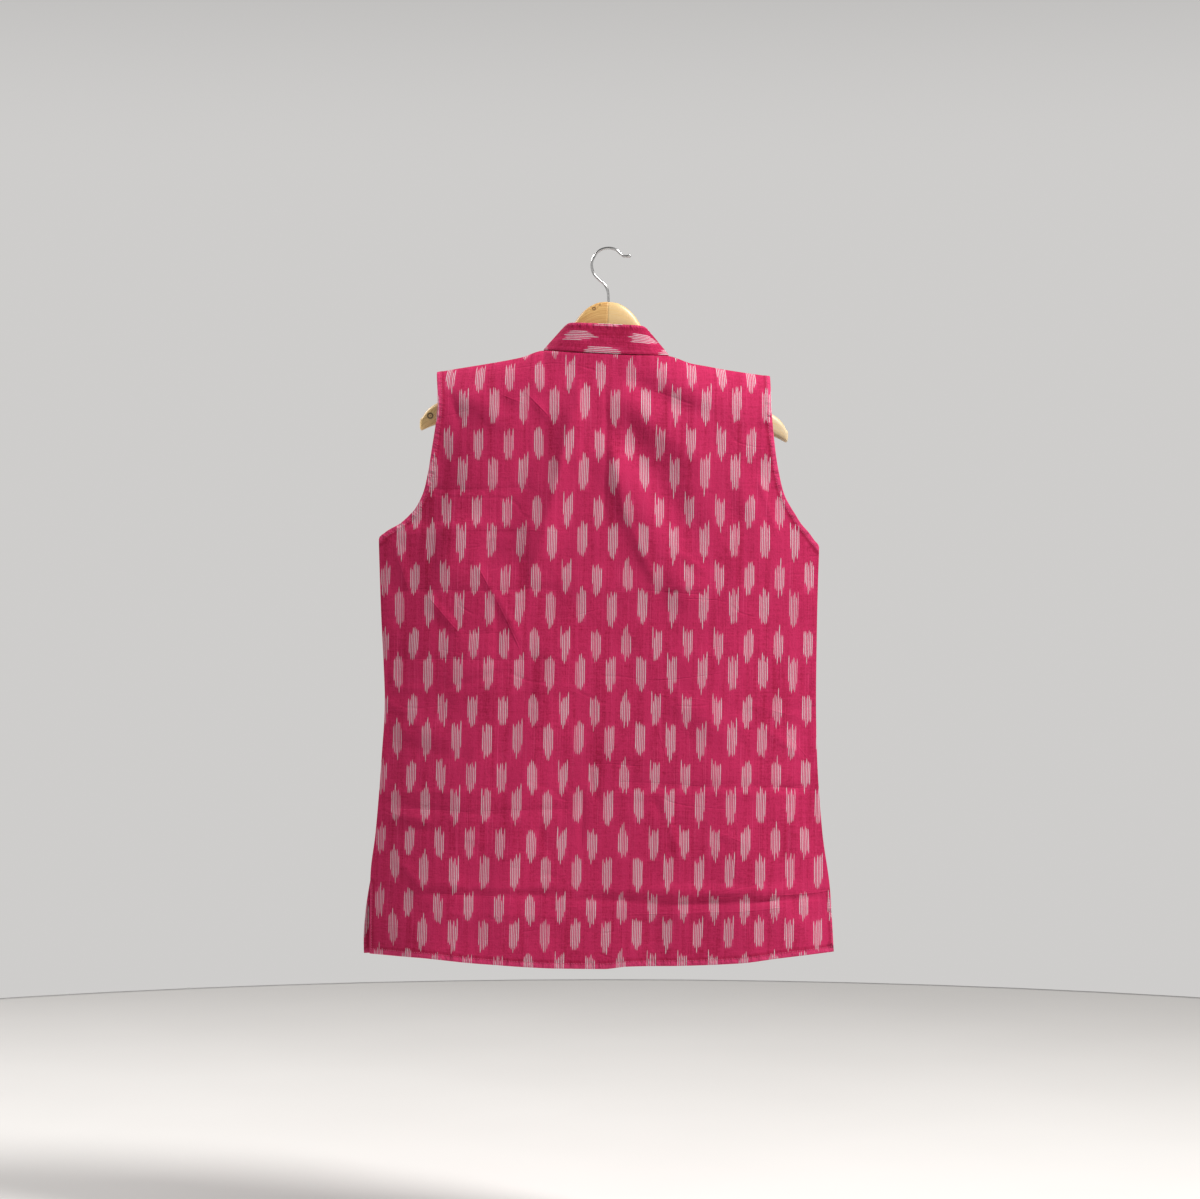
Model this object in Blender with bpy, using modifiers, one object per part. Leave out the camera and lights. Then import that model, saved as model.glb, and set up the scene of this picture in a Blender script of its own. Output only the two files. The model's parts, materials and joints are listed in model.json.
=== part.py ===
"""Nehru jacket on a contoured wooden hanger: the cut pieces as thin cloth walls.

Metres, +Z up.  The jacket's front faces -Y and the wearer's left is +X.
The origin is the inner top of the hook's crown, where the hanger hangs.
"""

import math

import bmesh
import bpy
import numpy as np
from mathutils import Matrix, Vector

NAME = "nehru_jacket"

# Cloth ---------------------------------------------------------------------
CLOTH_WALL = 0.0015          # body cloth, with its seam allowances
BAND_WALL = 0.0021           # turned and stitched edges
COLLAR_WALL = 0.0022
SEAM_GAP = 0.0003            # between two pieces at a seam
HEM_BAND = 0.0075
ARMHOLE_BAND = 0.009
BAND_STEP = 0.0015           # run over which a band's extra thickness fades
ARMPIT_LEVEL = 6             # row of SIDE_OUTLINE where the armhole starts

# Lean of the neck on the tilted hanger, and of the hanger itself
NECK_LEAN = 0.0440           # rise of z for each metre along +X
NECK_CENTRE_X = 0.0045
HANGER_TILT = math.radians(1.9)

# Side outline of the back, from the hem corner up to the shoulder tip:
# (left_x, left_z, right_x, right_z, back_y, front_y, inset_left, inset_right, rows above)
# back_y and front_y are the depths of the two panels' edges at that place, and
# the insets are how far each front's edge lies inside the back's.
SIDE_OUTLINE = (
    (0.2894, -0.8484, -0.2695, -0.8460, 0.0025, -0.0030, -0.0073, 0.0025, 4),
    (0.2888, -0.7604, -0.2653, -0.7724, 0.0, 0.0, 0.0, 0.0, 2),
    (0.2822, -0.7000, -0.2557, -0.7000, 0.0, 0.0, 0.0, 0.0, 4),
    (0.2750, -0.6096, -0.2496, -0.6096, 0.0, 0.0, 0.0, 0.0, 3),
    (0.2714, -0.5433, -0.2484, -0.5433, 0.0, 0.0, 0.0, 0.0, 4),
    (0.2762, -0.4287, -0.2500, -0.4287, 0.0, 0.0, 0.0, 0.0, 3),
    (0.2786, -0.3503, -0.2521, -0.3600, 0.0, 0.0, 0.0, 0.0, 1),
    (0.2701, -0.3407, -0.2460, -0.3503, 0.0015, -0.0020, 0.001, 0.001, 1),
    (0.2533, -0.3310, -0.2390, -0.3407, 0.0030, -0.0060, 0.003, 0.003, 1),
    (0.2424, -0.3214, -0.2303, -0.3310, 0.0045, -0.0100, 0.006, 0.006, 1),
    (0.2340, -0.3118, -0.2233, -0.3200, 0.0060, -0.0140, 0.008, 0.008, 1),
    (0.2243, -0.2925, -0.2098, -0.2960, 0.0080, -0.0200, 0.010, 0.010, 1),
    (0.2195, -0.2732, -0.2038, -0.2732, 0.0095, -0.0250, 0.012, 0.012, 2),
    (0.2147, -0.2442, -0.1990, -0.2442, 0.0100, -0.0300, 0.012, 0.012, 3),
    (0.2074, -0.1863, -0.1942, -0.1863, 0.0060, -0.0340, 0.008, 0.008, 5),
    (0.2098, -0.1475, -0.1940, -0.1525, 0.0, -0.0340, 0.0, 0.0, 0),
)
SHOULDER_ROW_HEIGHTS = (0.36, 0.63, 0.84, 0.96)   # of the last span, closing on the ridge

# Hem of both panels: (x, z)
HEM_LINE = (
    (-0.270, -0.8460), (-0.209, -0.8504), (-0.152, -0.8565), (-0.085, -0.8592),
    (-0.021, -0.8601), (0.008, -0.8630), (0.060, -0.8624), (0.162, -0.8565),
    (0.229, -0.8504), (0.2894, -0.8484),
)

# Inner line of the two shoulders, between the tips and the neck: (x, z)
RIDGE_LINE = (
    (-0.1940, -0.1525), (-0.1600, -0.1481), (-0.1365, -0.1447), (-0.1182, -0.1414),
    (-0.0981, -0.1380), (0.1072, -0.1306), (0.1457, -0.1375), (0.1890, -0.1440),
    (0.2098, -0.1475),
)

# Depth of the panels on the centre line: (z, back_y, front_y, side_run, front_side_run)
# side_run is how far in from the side seam a panel is still turning.
CENTRE_DEPTH = (
    (-0.8700, 0.0370, -0.0400, 0.100, 0.110),
    (-0.7000, 0.0330, -0.0380, 0.120, 0.120),
    (-0.5400, 0.0290, -0.0350, 0.150, 0.140),
    (-0.4300, 0.0265, -0.0340, 0.170, 0.150),
    (-0.3500, 0.0255, -0.0340, 0.160, 0.150),
    (-0.2600, 0.0240, -0.0350, 0.130, 0.130),
    (-0.1900, 0.0205, -0.0350, 0.110, 0.120),
    (-0.1200, 0.0150, -0.0330, 0.110, 0.120),
)
NECK_PUSH = 0.017            # how far the collar pushes the front neck forward
NECK_PUSH_SPREAD = 0.045
NECK_PUSH_FOOT = -0.300

# Neck seam and collar, each half from the centre back to the centre front:
# (base_x, base_y, base_z, top_x, top_y, top_z, rise, run)
# rise lifts the collar clear of the body, and below run the body has turned down.
COLLAR_STATIONS = (
    (0.0000, 0.0135, -0.1269, 0.0000, 0.0115, -0.0908, 0.0004, 0.060),
    (0.0300, 0.0132, -0.1268, 0.0255, 0.0113, -0.0908, 0.0004, 0.055),
    (0.0565, 0.0095, -0.1263, 0.0445, 0.0070, -0.0911, 0.0005, 0.050),
    (0.0750, -0.0040, -0.1258, 0.0518, -0.0085, -0.0945, 0.0008, 0.048),
    (0.0735, -0.0155, -0.1330, 0.0535, -0.0225, -0.1020, 0.0023, 0.048),
    (0.0615, -0.0310, -0.1550, 0.0525, -0.0420, -0.1225, 0.0019, 0.050),
    (0.0400, -0.0450, -0.1810, 0.0385, -0.0610, -0.1495, 0.0011, 0.060),
    (0.0200, -0.0515, -0.1970, 0.0200, -0.0700, -0.1665, 0.0008, 0.060),
    (0.0005, -0.0530, -0.2030, 0.0008, -0.0725, -0.1725, 0.0008, 0.060),
)
SHOULDER_RUN = 0.048         # height over which the panels turn down from the ridge
BACK_TURN = 1.7              # fullness of that turn: 1 is a plain slope, 2 a quarter round
BACK_NECK_TURN = 1.3
FRONT_TURN = 1.35
HPS_STATION = 3              # where the shoulder seam meets the neck
COLLAR_STEPS = 16            # steps along each half, two to a station
COLLAR_ROWS = 4
COLLAR_CORNER = 0.016        # radius of the two front corners

# Centre front line and buttoned overlap
CENTRE_FRONT = ((-0.870, 0.0110), (-0.400, 0.0125), (-0.203, NECK_CENTRE_X))   # (z, x)
OVERLAP = 0.017
OVERLAP_LIFT = 0.0026        # left front stands over the right front by this
OVERLAP_MARGIN = 0.006       # and keeps that lift this far past the right front's edge
OVERLAP_RAMP = 0.018
BUTTON_RADIUS = 0.009
BUTTON_THICK = 0.003
BUTTON_EDGE = 0.0008         # chamfer round each face
BUTTON_SIDES = 16
BUTTON_FIRST_Z = -0.231
BUTTON_PITCH = 0.100
BUTTON_COUNT = 5

# Columns across a panel
SHOULDER_COLUMNS = 7
BACK_NECK_COLUMNS = 12
FRONT_NECK_COLUMNS = 10
OVERLAP_COLUMNS = 2

# Largest folds: (x0, z0, x1, z1, half_width, height), height < 0 for a trough
BACK_FOLDS = (
    (-0.0145, -0.1550, -0.1110, -0.2010, 0.013, -0.0036),
    (-0.0157, -0.1840, -0.1060, -0.2575, 0.017, 0.0034),
    (-0.0157, -0.2153, -0.1060, -0.3503, 0.019, -0.0034),
    (-0.0024, -0.2540, -0.0905, -0.4203, 0.021, 0.0050),
    (0.0422, -0.1820, 0.0543, -0.2660, 0.018, 0.0036),
    (0.0543, -0.2660, 0.0929, -0.3841, 0.021, 0.0036),
    (0.0844, -0.2153, 0.1508, -0.3841, 0.024, -0.0034),
    (0.1845, -0.1695, 0.1242, -0.2117, 0.015, 0.0032),
    (0.1689, -0.2418, 0.1990, -0.3841, 0.022, 0.0030),
    (-0.1544, -0.2780, -0.1869, -0.3503, 0.016, 0.0030),
    (0.0543, -0.4649, 0.1085, -0.6639, 0.026, 0.0034),
    (0.1085, -0.6639, 0.1327, -0.8147, 0.026, 0.0034),
    (-0.0844, -0.5457, -0.1423, -0.5855, 0.019, 0.0030),
    (-0.1990, -0.6639, -0.2388, -0.7302, 0.019, 0.0026),
    (0.2328, -0.5734, 0.1954, -0.5939, 0.018, 0.0026),
    (-0.0300, -0.7735, -0.2400, -0.7770, 0.010, 0.0022),
    (-0.0450, -0.8700, -0.0600, -0.7950, 0.020, -0.0036),
    (-0.1950, -0.8600, -0.1850, -0.8000, 0.019, -0.0034),
    (0.2000, -0.8600, 0.1850, -0.8050, 0.026, -0.0036),
)
FRONT_FOLDS = (
    (0.0850, -0.1750, 0.1250, -0.3050, 0.018, 0.0034),
    (0.1250, -0.3050, 0.1500, -0.4150, 0.020, 0.0034),
    (0.1350, -0.2000, 0.1850, -0.3300, 0.018, -0.0030),
    (0.0450, -0.2750, 0.0900, -0.4200, 0.020, -0.0032),
    (0.0900, -0.5000, 0.1250, -0.7200, 0.026, 0.0034),
    (0.2000, -0.4300, 0.1800, -0.5600, 0.022, 0.0028),
    (0.1950, -0.8650, 0.1850, -0.7700, 0.022, -0.0034),
    (0.0700, -0.8700, 0.0800, -0.7700, 0.022, 0.0032),
    (-0.0750, -0.1800, -0.1100, -0.3000, 0.018, 0.0034),
    (-0.1100, -0.3000, -0.1350, -0.4100, 0.020, 0.0032),
    (-0.1500, -0.2300, -0.1700, -0.3500, 0.018, -0.0030),
    (-0.0450, -0.3000, -0.0750, -0.4400, 0.020, -0.0030),
    (-0.0850, -0.5200, -0.1050, -0.7300, 0.026, 0.0034),
    (-0.1800, -0.4600, -0.1700, -0.5900, 0.022, 0.0028),
    (-0.1750, -0.8600, -0.1650, -0.7700, 0.022, 0.0034),
    (-0.0600, -0.8700, -0.0650, -0.7800, 0.020, -0.0030),
)
FOLD_EDGE_FADE = 0.028       # folds die away this near to a side seam
FOLD_END_FADE = 0.030
FOLD_REACH = 3               # in half widths, beyond which a fold has died away

# Hanger: half outline before the tilt, (x, top_z, bottom_z)
HANGER_OUTLINE = (
    (0.0000, -0.0633, -0.1300), (0.0100, -0.0643, -0.1305), (0.0200, -0.0685, -0.1325),
    (0.0300, -0.0765, -0.1355), (0.0385, -0.0876, -0.1395), (0.0447, -0.0985, -0.1430),
    (0.0528, -0.1095, -0.1480), (0.0620, -0.1212, -0.1530), (0.0685, -0.1274, -0.1565),
    (0.0780, -0.1290, -0.1605), (0.0870, -0.1332, -0.1650),
    (0.1150, -0.1478, -0.1780), (0.1500, -0.1660, -0.1935), (0.1850, -0.1833, -0.2095),
    (0.2030, -0.1915, -0.2165), (0.2124, -0.1985, -0.2205), (0.2190, -0.2070, -0.2236),
    (0.2228, -0.2152, -0.2253),
)
HANGER_THICK = 0.014
HANGER_FORWARD = 0.026       # how far the tips curve forward
HANGER_REACH = 0.229
HANGER_CURVE = 1.7
HANGER_SECTION_POINTS = 12
HANGER_SECTION_POWER = 3.2   # superellipse power of the wood's section

# Hook wire, from its end in the wood round to its free end: (x, z, radius_factor)
WIRE_RADIUS = 0.0016
BORE_CLEARANCE = 0.0003
BORE_OVERSHOOT = 0.004       # the drill starts this far above the wood
BORE_SIDES = 16
HOOK_DEPTH = 0.022
HOOK_LINE = (
    (0.0012, -0.0633 - HOOK_DEPTH, 1.0), (0.0018, -0.0600, 1.0), (0.0028, -0.0500, 1.0),
    (0.0065, -0.0425, 1.0), (0.0128, -0.0370, 1.0), (0.0185, -0.0308, 1.0),
    (0.0215, -0.0235, 1.0), (0.0218, -0.0160, 1.0), (0.0190, -0.0085, 1.0),
    (0.0140, -0.0025, 1.0), (0.0075, 0.0008, 1.0), (0.0005, 0.0016, 1.0),
    (-0.0065, -0.0001, 1.0), (-0.0115, -0.0042, 1.0), (-0.0155, -0.0075, 1.0),
    (-0.0192, -0.0085, 1.0), (-0.0212, -0.0083, 1.45), (-0.0228, -0.0078, 1.45),
    (-0.0240, -0.0073, 0.75),
)

# Colours, linear: (name, rgb, roughness, metallic)
MATERIALS = {
    "cotton": ((0.418, 0.024, 0.082), 0.85, 0.0),
    "button": ((0.300, 0.018, 0.060), 0.45, 0.0),
    "wood": ((0.680, 0.430, 0.160), 0.50, 0.0),
    "steel": ((0.560, 0.560, 0.560), 0.25, 1.0),
}


# Smooth reading of short tables ----------------------------------------------

def pchip(xs, ys, x):
    """Smooth curve through the points, which never overshoots them."""
    xs = np.asarray(xs, dtype=float)
    ys = np.asarray(ys, dtype=float)
    step = np.diff(xs)
    slope = np.diff(ys) / step
    tangent = np.zeros(len(xs))
    tangent[0] = slope[0]
    tangent[-1] = slope[-1]
    for i in range(1, len(xs) - 1):
        if slope[i - 1] * slope[i] > 0:
            w0 = 2 * step[i] + step[i - 1]
            w1 = step[i] + 2 * step[i - 1]
            tangent[i] = (w0 + w1) / (w0 / slope[i - 1] + w1 / slope[i])
    x = min(max(x, xs[0]), xs[-1])
    i = min(int(np.searchsorted(xs, x, side="right")) - 1, len(xs) - 2)
    t = (x - xs[i]) / step[i]
    rise = ys[i + 1] - ys[i]
    return float(ys[i] + rise * t * t * (3 - 2 * t)
                 + step[i] * t * (1 - t) * ((1 - t) * tangent[i] - t * tangent[i + 1]))


def read_table(table, column, x):
    """Value of a column at x, where the first column rises."""
    return pchip([row[0] for row in table], [row[column] for row in table], x)


def smooth(t):
    t = min(max(t, 0.0), 1.0)
    return t * t * (3 - 2 * t)


def mix(a, b, t):
    return a + (b - a) * t


# Form of the jacket -----------------------------------------------------------

def ridge_depth(x):
    """Depth of the shoulder ridge, which follows the contoured hanger."""
    return -HANGER_FORWARD * (abs(x) / HANGER_REACH) ** HANGER_CURVE


def side_rows():
    """Places up the side outline, as indices into SIDE_OUTLINE."""
    rows = []
    last = len(SIDE_OUTLINE) - 2
    for i, level in enumerate(SIDE_OUTLINE[:-1]):
        if i == last:
            rows.append(float(i))
            rows.extend(i + height for height in SHOULDER_ROW_HEIGHTS)
        else:
            rows.extend(i + k / level[8] for k in range(level[8]))
    hem_run = SIDE_OUTLINE[1][1] - SIDE_OUTLINE[0][1]
    rows[1:1] = [HEM_BAND / hem_run, (HEM_BAND + BAND_STEP) / hem_run]
    rows.append(float(len(SIDE_OUTLINE) - 1))
    return rows


def side_value(column, row):
    indices = range(len(SIDE_OUTLINE))
    return pchip(indices, [level[column] for level in SIDE_OUTLINE], row)


def side_fraction(z_column, row):
    """How far up its panel a place on the side outline is."""
    low = SIDE_OUTLINE[0][z_column]
    high = SIDE_OUTLINE[-1][z_column]
    return (side_value(z_column, row) - low) / (high - low)


def collar_station(place):
    """One collar station; place runs from 0 at the centre back to the centre front."""
    indices = range(len(COLLAR_STATIONS))
    return [pchip(indices, [station[k] for station in COLLAR_STATIONS], place)
            for k in range(8)]


def lean(x, y, z):
    """Set a point of the level, centred neck on the tilted hanger."""
    return (x + NECK_CENTRE_X, y, z + NECK_LEAN * x)


def neck_seam(place, sign, turn):
    """Neck seam point with its turn and run, on the side that sign names."""
    station = collar_station(place)
    x, y, z = lean(sign * station[0], station[1], station[2])
    return x, y, z, turn, station[7]


def neck_point(sign):
    """Where the shoulder seam meets the neck."""
    station = COLLAR_STATIONS[HPS_STATION]
    return lean(sign * station[0], station[1], station[2])


def shoulder_seam(x, turn):
    """Shoulder seam point with its turn and run."""
    necks = tuple(neck_point(sign)[::2] for sign in (-1, 1))
    z = read_table(sorted(RIDGE_LINE + necks), 1, x)
    return x, ridge_depth(x), z, turn, SHOULDER_RUN


def fold_height(x, z, folds):
    """Outward height of all the folds at a place on a panel."""
    total = 0.0
    for x0, z0, x1, z1, half_width, height in folds:
        dx = x1 - x0
        dz = z1 - z0
        length = math.hypot(dx, dz)
        along = ((x - x0) * dx + (z - z0) * dz) / length
        across = ((x - x0) * dz - (z - z0) * dx) / length
        if abs(across) > FOLD_REACH * half_width:
            continue
        ends = smooth((along + FOLD_END_FADE) / (2 * FOLD_END_FADE))
        ends *= smooth((length - along + FOLD_END_FADE) / (2 * FOLD_END_FADE))
        total += height * ends * math.exp(-(across / half_width) ** 2)
    return total


def rounded(t, turn):
    """Quarter turn from a seam line (0) down to the panel's face (1)."""
    t = min(max(t, 0.0), 1.0)
    return (1 - (1 - t) ** turn) ** (1 / turn)


def turned_depth(edge_y, face_y, inset, run):
    """Depth at a distance in from a side edge."""
    return mix(edge_y, face_y, math.sin(0.5 * math.pi * min(inset / run, 1.0)))


def back_depth(x, z, left, right, row):
    """Depth of the back's inner face, below the shoulder's turn."""
    face_y = read_table(CENTRE_DEPTH, 1, z)
    run = read_table(CENTRE_DEPTH, 3, z)
    edge_y = side_value(4, row) + 0.5 * SEAM_GAP
    inset = max(min(left - x, x - right), 0.0)
    y = turned_depth(edge_y, face_y, inset, run)
    return y + fold_height(x, z, BACK_FOLDS) * smooth(inset / FOLD_EDGE_FADE)


def front_depth(x, z, edge_x, row, sign):
    """Depth of a front's inner face, below the shoulder's turn."""
    neck_z = COLLAR_STATIONS[-1][2]
    push = NECK_PUSH * smooth((z - NECK_PUSH_FOOT) / (neck_z - NECK_PUSH_FOOT))
    push *= math.exp(-((x - NECK_CENTRE_X) / NECK_PUSH_SPREAD) ** 2 / 2)
    face_y = read_table(CENTRE_DEPTH, 2, z) - push
    run = read_table(CENTRE_DEPTH, 4, z)
    edge_y = side_value(5, row) - 0.5 * SEAM_GAP
    inset = max((edge_x - x) * sign, 0.0)
    y = turned_depth(edge_y, face_y, inset, run)
    return y - fold_height(x, z, FRONT_FOLDS) * smooth(inset / FOLD_EDGE_FADE)


def overlap_seam_depth(beyond):
    """Depth of a front's top edge at a distance past the centre front."""
    near_front = COLLAR_STATIONS[:HPS_STATION + 1:-1]
    return pchip([station[0] for station in near_front],
                 [station[1] for station in near_front], beyond)


def centre_front_x(z):
    return read_table(CENTRE_FRONT, 1, z)


# Columns across the panels -----------------------------------------------------

def shoulder_columns(tip_x, neck_x):
    """Places along a shoulder, with the armhole's band at the tip."""
    inward = math.copysign(1.0, neck_x - tip_x)
    start = tip_x + inward * (ARMHOLE_BAND + BAND_STEP)
    places = [tip_x, tip_x + inward * ARMHOLE_BAND]
    places += [mix(start, neck_x, k / SHOULDER_COLUMNS) for k in range(SHOULDER_COLUMNS)]
    return places


def back_columns():
    """Top edge of the back, from the left shoulder tip to the right one."""
    left = [shoulder_seam(x, BACK_TURN)
            for x in shoulder_columns(SIDE_OUTLINE[-1][0], neck_point(1)[0])]
    right = [shoulder_seam(x, BACK_TURN)
             for x in shoulder_columns(SIDE_OUTLINE[-1][2], neck_point(-1)[0])]
    half = BACK_NECK_COLUMNS // 2
    places = [(1 - k / half, 1) for k in range(half)]
    places += [(k / half, -1) for k in range(half + 1)]
    neck = [neck_seam(HPS_STATION * place, sign, mix(BACK_NECK_TURN, BACK_TURN, place))
            for place, sign in places]
    return left + neck + right[::-1]


def front_columns(sign):
    """Top edge of a front, from its shoulder tip to the centre front."""
    tip_x = SIDE_OUTLINE[-1][0] if sign > 0 else SIDE_OUTLINE[-1][2]
    places = shoulder_columns(tip_x, neck_point(sign)[0])
    columns = [shoulder_seam(x, FRONT_TURN) for x in places]
    last = len(COLLAR_STATIONS) - 1
    for k in range(FRONT_NECK_COLUMNS + 1):
        place = mix(HPS_STATION, last, k / FRONT_NECK_COLUMNS)
        columns.append(neck_seam(place, sign, FRONT_TURN))
    return columns


# Panels ----------------------------------------------------------------------------

def back_grid():
    columns = back_columns()
    left_tip = columns[0][0]
    right_tip = columns[-1][0]
    grid = []
    for row in side_rows():
        left = side_value(0, row)
        right = side_value(2, row)
        line = []
        for top_x, top_y, top_z, turn, run in columns:
            s = (left_tip - top_x) / (left_tip - right_tip)
            x = mix(left, right, s)
            fraction = mix(side_fraction(1, row), side_fraction(3, row), s)
            hem_x = mix(SIDE_OUTLINE[0][0], SIDE_OUTLINE[0][2], s)
            z = mix(read_table(HEM_LINE, 1, hem_x), top_z, fraction)
            face_y = back_depth(x, z, left, right, row)
            seam_y = top_y + 0.5 * SEAM_GAP
            line.append((x, mix(seam_y, face_y, rounded((top_z - z) / run, turn)), z))
        grid.append(line)
    return grid


def front_grid(sign):
    """A front; the left one (sign 1) laps over the right one."""
    columns = front_columns(sign)
    x_column, z_column, inset_column = (0, 1, 6) if sign > 0 else (2, 3, 7)
    tip_x = columns[0][0]
    centre_x = columns[-1][0]
    grid = []
    for row in side_rows():
        edge_x = side_value(x_column, row) - sign * side_value(inset_column, row)
        fraction = side_fraction(z_column, row)
        line = []
        for top_x, top_y, top_z, turn, run in columns:
            s = (tip_x - top_x) / (tip_x - centre_x)
            hem_x = mix(SIDE_OUTLINE[0][x_column], CENTRE_FRONT[0][1], s)
            z = mix(read_table(HEM_LINE, 1, hem_x), top_z, fraction)
            x = mix(edge_x, centre_front_x(z), s)
            line.append(front_point(x, z, top_y, top_z, turn, run, edge_x, row, sign))
        top_x, top_y, top_z, turn, run = columns[-1]
        z = line[-1][2]
        for k in range(1, OVERLAP_COLUMNS + 1):
            beyond = OVERLAP * k / OVERLAP_COLUMNS
            top_y = overlap_seam_depth(beyond)
            x = centre_front_x(z) - sign * beyond
            line.append(front_point(x, z, top_y, top_z, turn, run, edge_x, row, sign))
        grid.append(line)
    return grid


def front_point(x, z, top_y, top_z, turn, run, edge_x, row, sign):
    """One point of a front's inner face."""
    face_y = front_depth(x, z, edge_x, row, sign)
    seam_y = top_y - 0.5 * SEAM_GAP
    y = mix(seam_y, face_y, rounded((top_z - z) / run, turn))
    if sign > 0:
        from_overlap = x - centre_front_x(z) - OVERLAP - OVERLAP_MARGIN
        y -= OVERLAP_LIFT * (1 - smooth(from_overlap / OVERLAP_RAMP))
    return x, y, z


def in_band(row_index, column_index, rows, columns, free_sides):
    """True on the turned hem and armhole bands."""
    armpit_row = next(k for k, row in enumerate(rows) if row >= ARMPIT_LEVEL)
    if row_index <= 1:
        return True
    if row_index < armpit_row:
        return False
    near_left = column_index <= 1 and "first" in free_sides
    near_right = column_index >= columns - 2 and "last" in free_sides
    return near_left or near_right


def panel_object(name, grid, flip, free_sides):
    """A cut piece: its inner face as a grid, thickened outward to a cloth wall."""
    rows = side_rows()
    bm = bmesh.new()
    verts = [[bm.verts.new(point) for point in line] for line in grid]
    columns = len(grid[0])
    for low, high in zip(verts[:-1], verts[1:]):
        for k in range(columns - 1):
            corners = [low[k], low[k + 1], high[k + 1], high[k]]
            bm.faces.new(corners[::-1] if flip else corners)
    mesh = bpy.data.meshes.new(name)
    bm.to_mesh(mesh)
    bm.free()
    obj = bpy.data.objects.new(name, mesh)
    band = obj.vertex_groups.new(name="band")
    for j in range(len(grid)):
        for k in range(columns):
            if in_band(j, k, rows, columns, free_sides):
                band.add([j * columns + k], 1.0, "REPLACE")
    wall = obj.modifiers.new("cloth wall", "SOLIDIFY")
    wall.thickness = BAND_WALL
    wall.offset = 1.0
    wall.vertex_group = band.name
    wall.thickness_vertex_group = CLOTH_WALL / BAND_WALL
    finish_object(obj, "cotton")
    return obj


def collar_object():
    """Stand collar: a curved band all round the neck with rounded front corners."""
    last = len(COLLAR_STATIONS) - 1
    places = [last * (1 - k / COLLAR_STEPS) for k in range(COLLAR_STEPS)]
    stations = [(collar_station(place), 1) for place in places]
    stations += [(collar_station(last * k / COLLAR_STEPS), -1) for k in range(COLLAR_STEPS + 1)]
    bm = bmesh.new()
    lines = []
    for station, sign in stations:
        base = Vector(lean(sign * station[0], station[1], station[2]))
        top = Vector(lean(sign * station[3], station[4], station[5]))
        up = top - base
        base = base + up.normalized() * station[6]
        from_end = (Vector(COLLAR_STATIONS[-1][:3]) - Vector(station[:3])).length
        q = min(from_end / COLLAR_CORNER, 1.0)
        drop = COLLAR_CORNER * (1 - math.sqrt(1 - (1 - q) ** 2))
        top = top - up.normalized() * drop
        lines.append([bm.verts.new(base.lerp(top, k / COLLAR_ROWS))
                      for k in range(COLLAR_ROWS + 1)])
    for one, two in zip(lines[:-1], lines[1:]):
        for k in range(COLLAR_ROWS):
            bm.faces.new((one[k], two[k], two[k + 1], one[k + 1]))
    mesh = bpy.data.meshes.new("collar")
    bm.to_mesh(mesh)
    bm.free()
    obj = bpy.data.objects.new("collar", mesh)
    wall = obj.modifiers.new("collar wall", "SOLIDIFY")
    wall.thickness = COLLAR_WALL
    wall.offset = -1.0
    finish_object(obj, "cotton")
    return obj


def button_object(number, grid):
    """A sew-on button lying on the left front at the centre line."""
    z = BUTTON_FIRST_Z - BUTTON_PITCH * (number - 1)
    seat = front_surface(grid, centre_front_x(z), z)
    above = front_surface(grid, centre_front_x(z), z + BUTTON_RADIUS)
    below = front_surface(grid, centre_front_x(z), z - BUTTON_RADIUS)
    side = front_surface(grid, centre_front_x(z) + BUTTON_RADIUS, z)
    normal = (above - below).cross(side - seat).normalized()
    if normal.y > 0:
        normal = -normal
    bm = bmesh.new()
    bmesh.ops.create_cone(bm, cap_ends=True, segments=BUTTON_SIDES,
                          radius1=BUTTON_RADIUS,
                          radius2=BUTTON_RADIUS, depth=BUTTON_THICK)
    mesh = bpy.data.meshes.new(f"button_{number}")
    bm.to_mesh(mesh)
    bm.free()
    obj = bpy.data.objects.new(f"button_{number}", mesh)
    stand_off = CLOTH_WALL + 2 * SEAM_GAP + 0.5 * BUTTON_THICK
    obj.matrix_world = (Matrix.Translation(seat + normal * stand_off)
                        @ normal.to_track_quat("Z", "Y").to_matrix().to_4x4())
    edge = obj.modifiers.new("rounded edge", "BEVEL")
    edge.width = BUTTON_EDGE
    edge.segments = 1
    edge.limit_method = "ANGLE"
    finish_object(obj, "button")
    return obj


def front_surface(grid, x, z):
    """Inner face of a front at x and z, from its grid."""
    nearest = None
    for low, high in zip(grid[:-1], grid[1:]):
        for k in range(len(low) - 1):
            a, b, c, d = (Vector(p) for p in (low[k], low[k + 1], high[k + 1], high[k]))
            inside_x = min(a.x, b.x) <= x <= max(a.x, b.x)
            if inside_x and min(a.z, b.z) <= z <= max(c.z, d.z):
                s = (x - a.x) / (b.x - a.x)
                t = (z - a.z) / (d.z - a.z)
                nearest = a.lerp(b, s).lerp(d.lerp(c, s), t)
                nearest.x = x
                nearest.z = z
    return nearest


# Hanger ------------------------------------------------------------------------------

def hanger_ring(x, top_z, bottom_z):
    """Rounded section of the wood at x, before the tilt."""
    ring = []
    centre_z = 0.5 * (top_z + bottom_z)
    for k in range(HANGER_SECTION_POINTS):
        angle = 2 * math.pi * (k + 0.5) / HANGER_SECTION_POINTS
        c = math.cos(angle)
        s = math.sin(angle)
        power = 2 / HANGER_SECTION_POWER
        y = math.copysign(abs(c) ** power, c) * 0.5 * HANGER_THICK
        z = math.copysign(abs(s) ** power, s) * 0.5 * (top_z - bottom_z)
        ring.append(Vector((x, ridge_depth(x) + y, centre_z + z)))
    return ring


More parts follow.
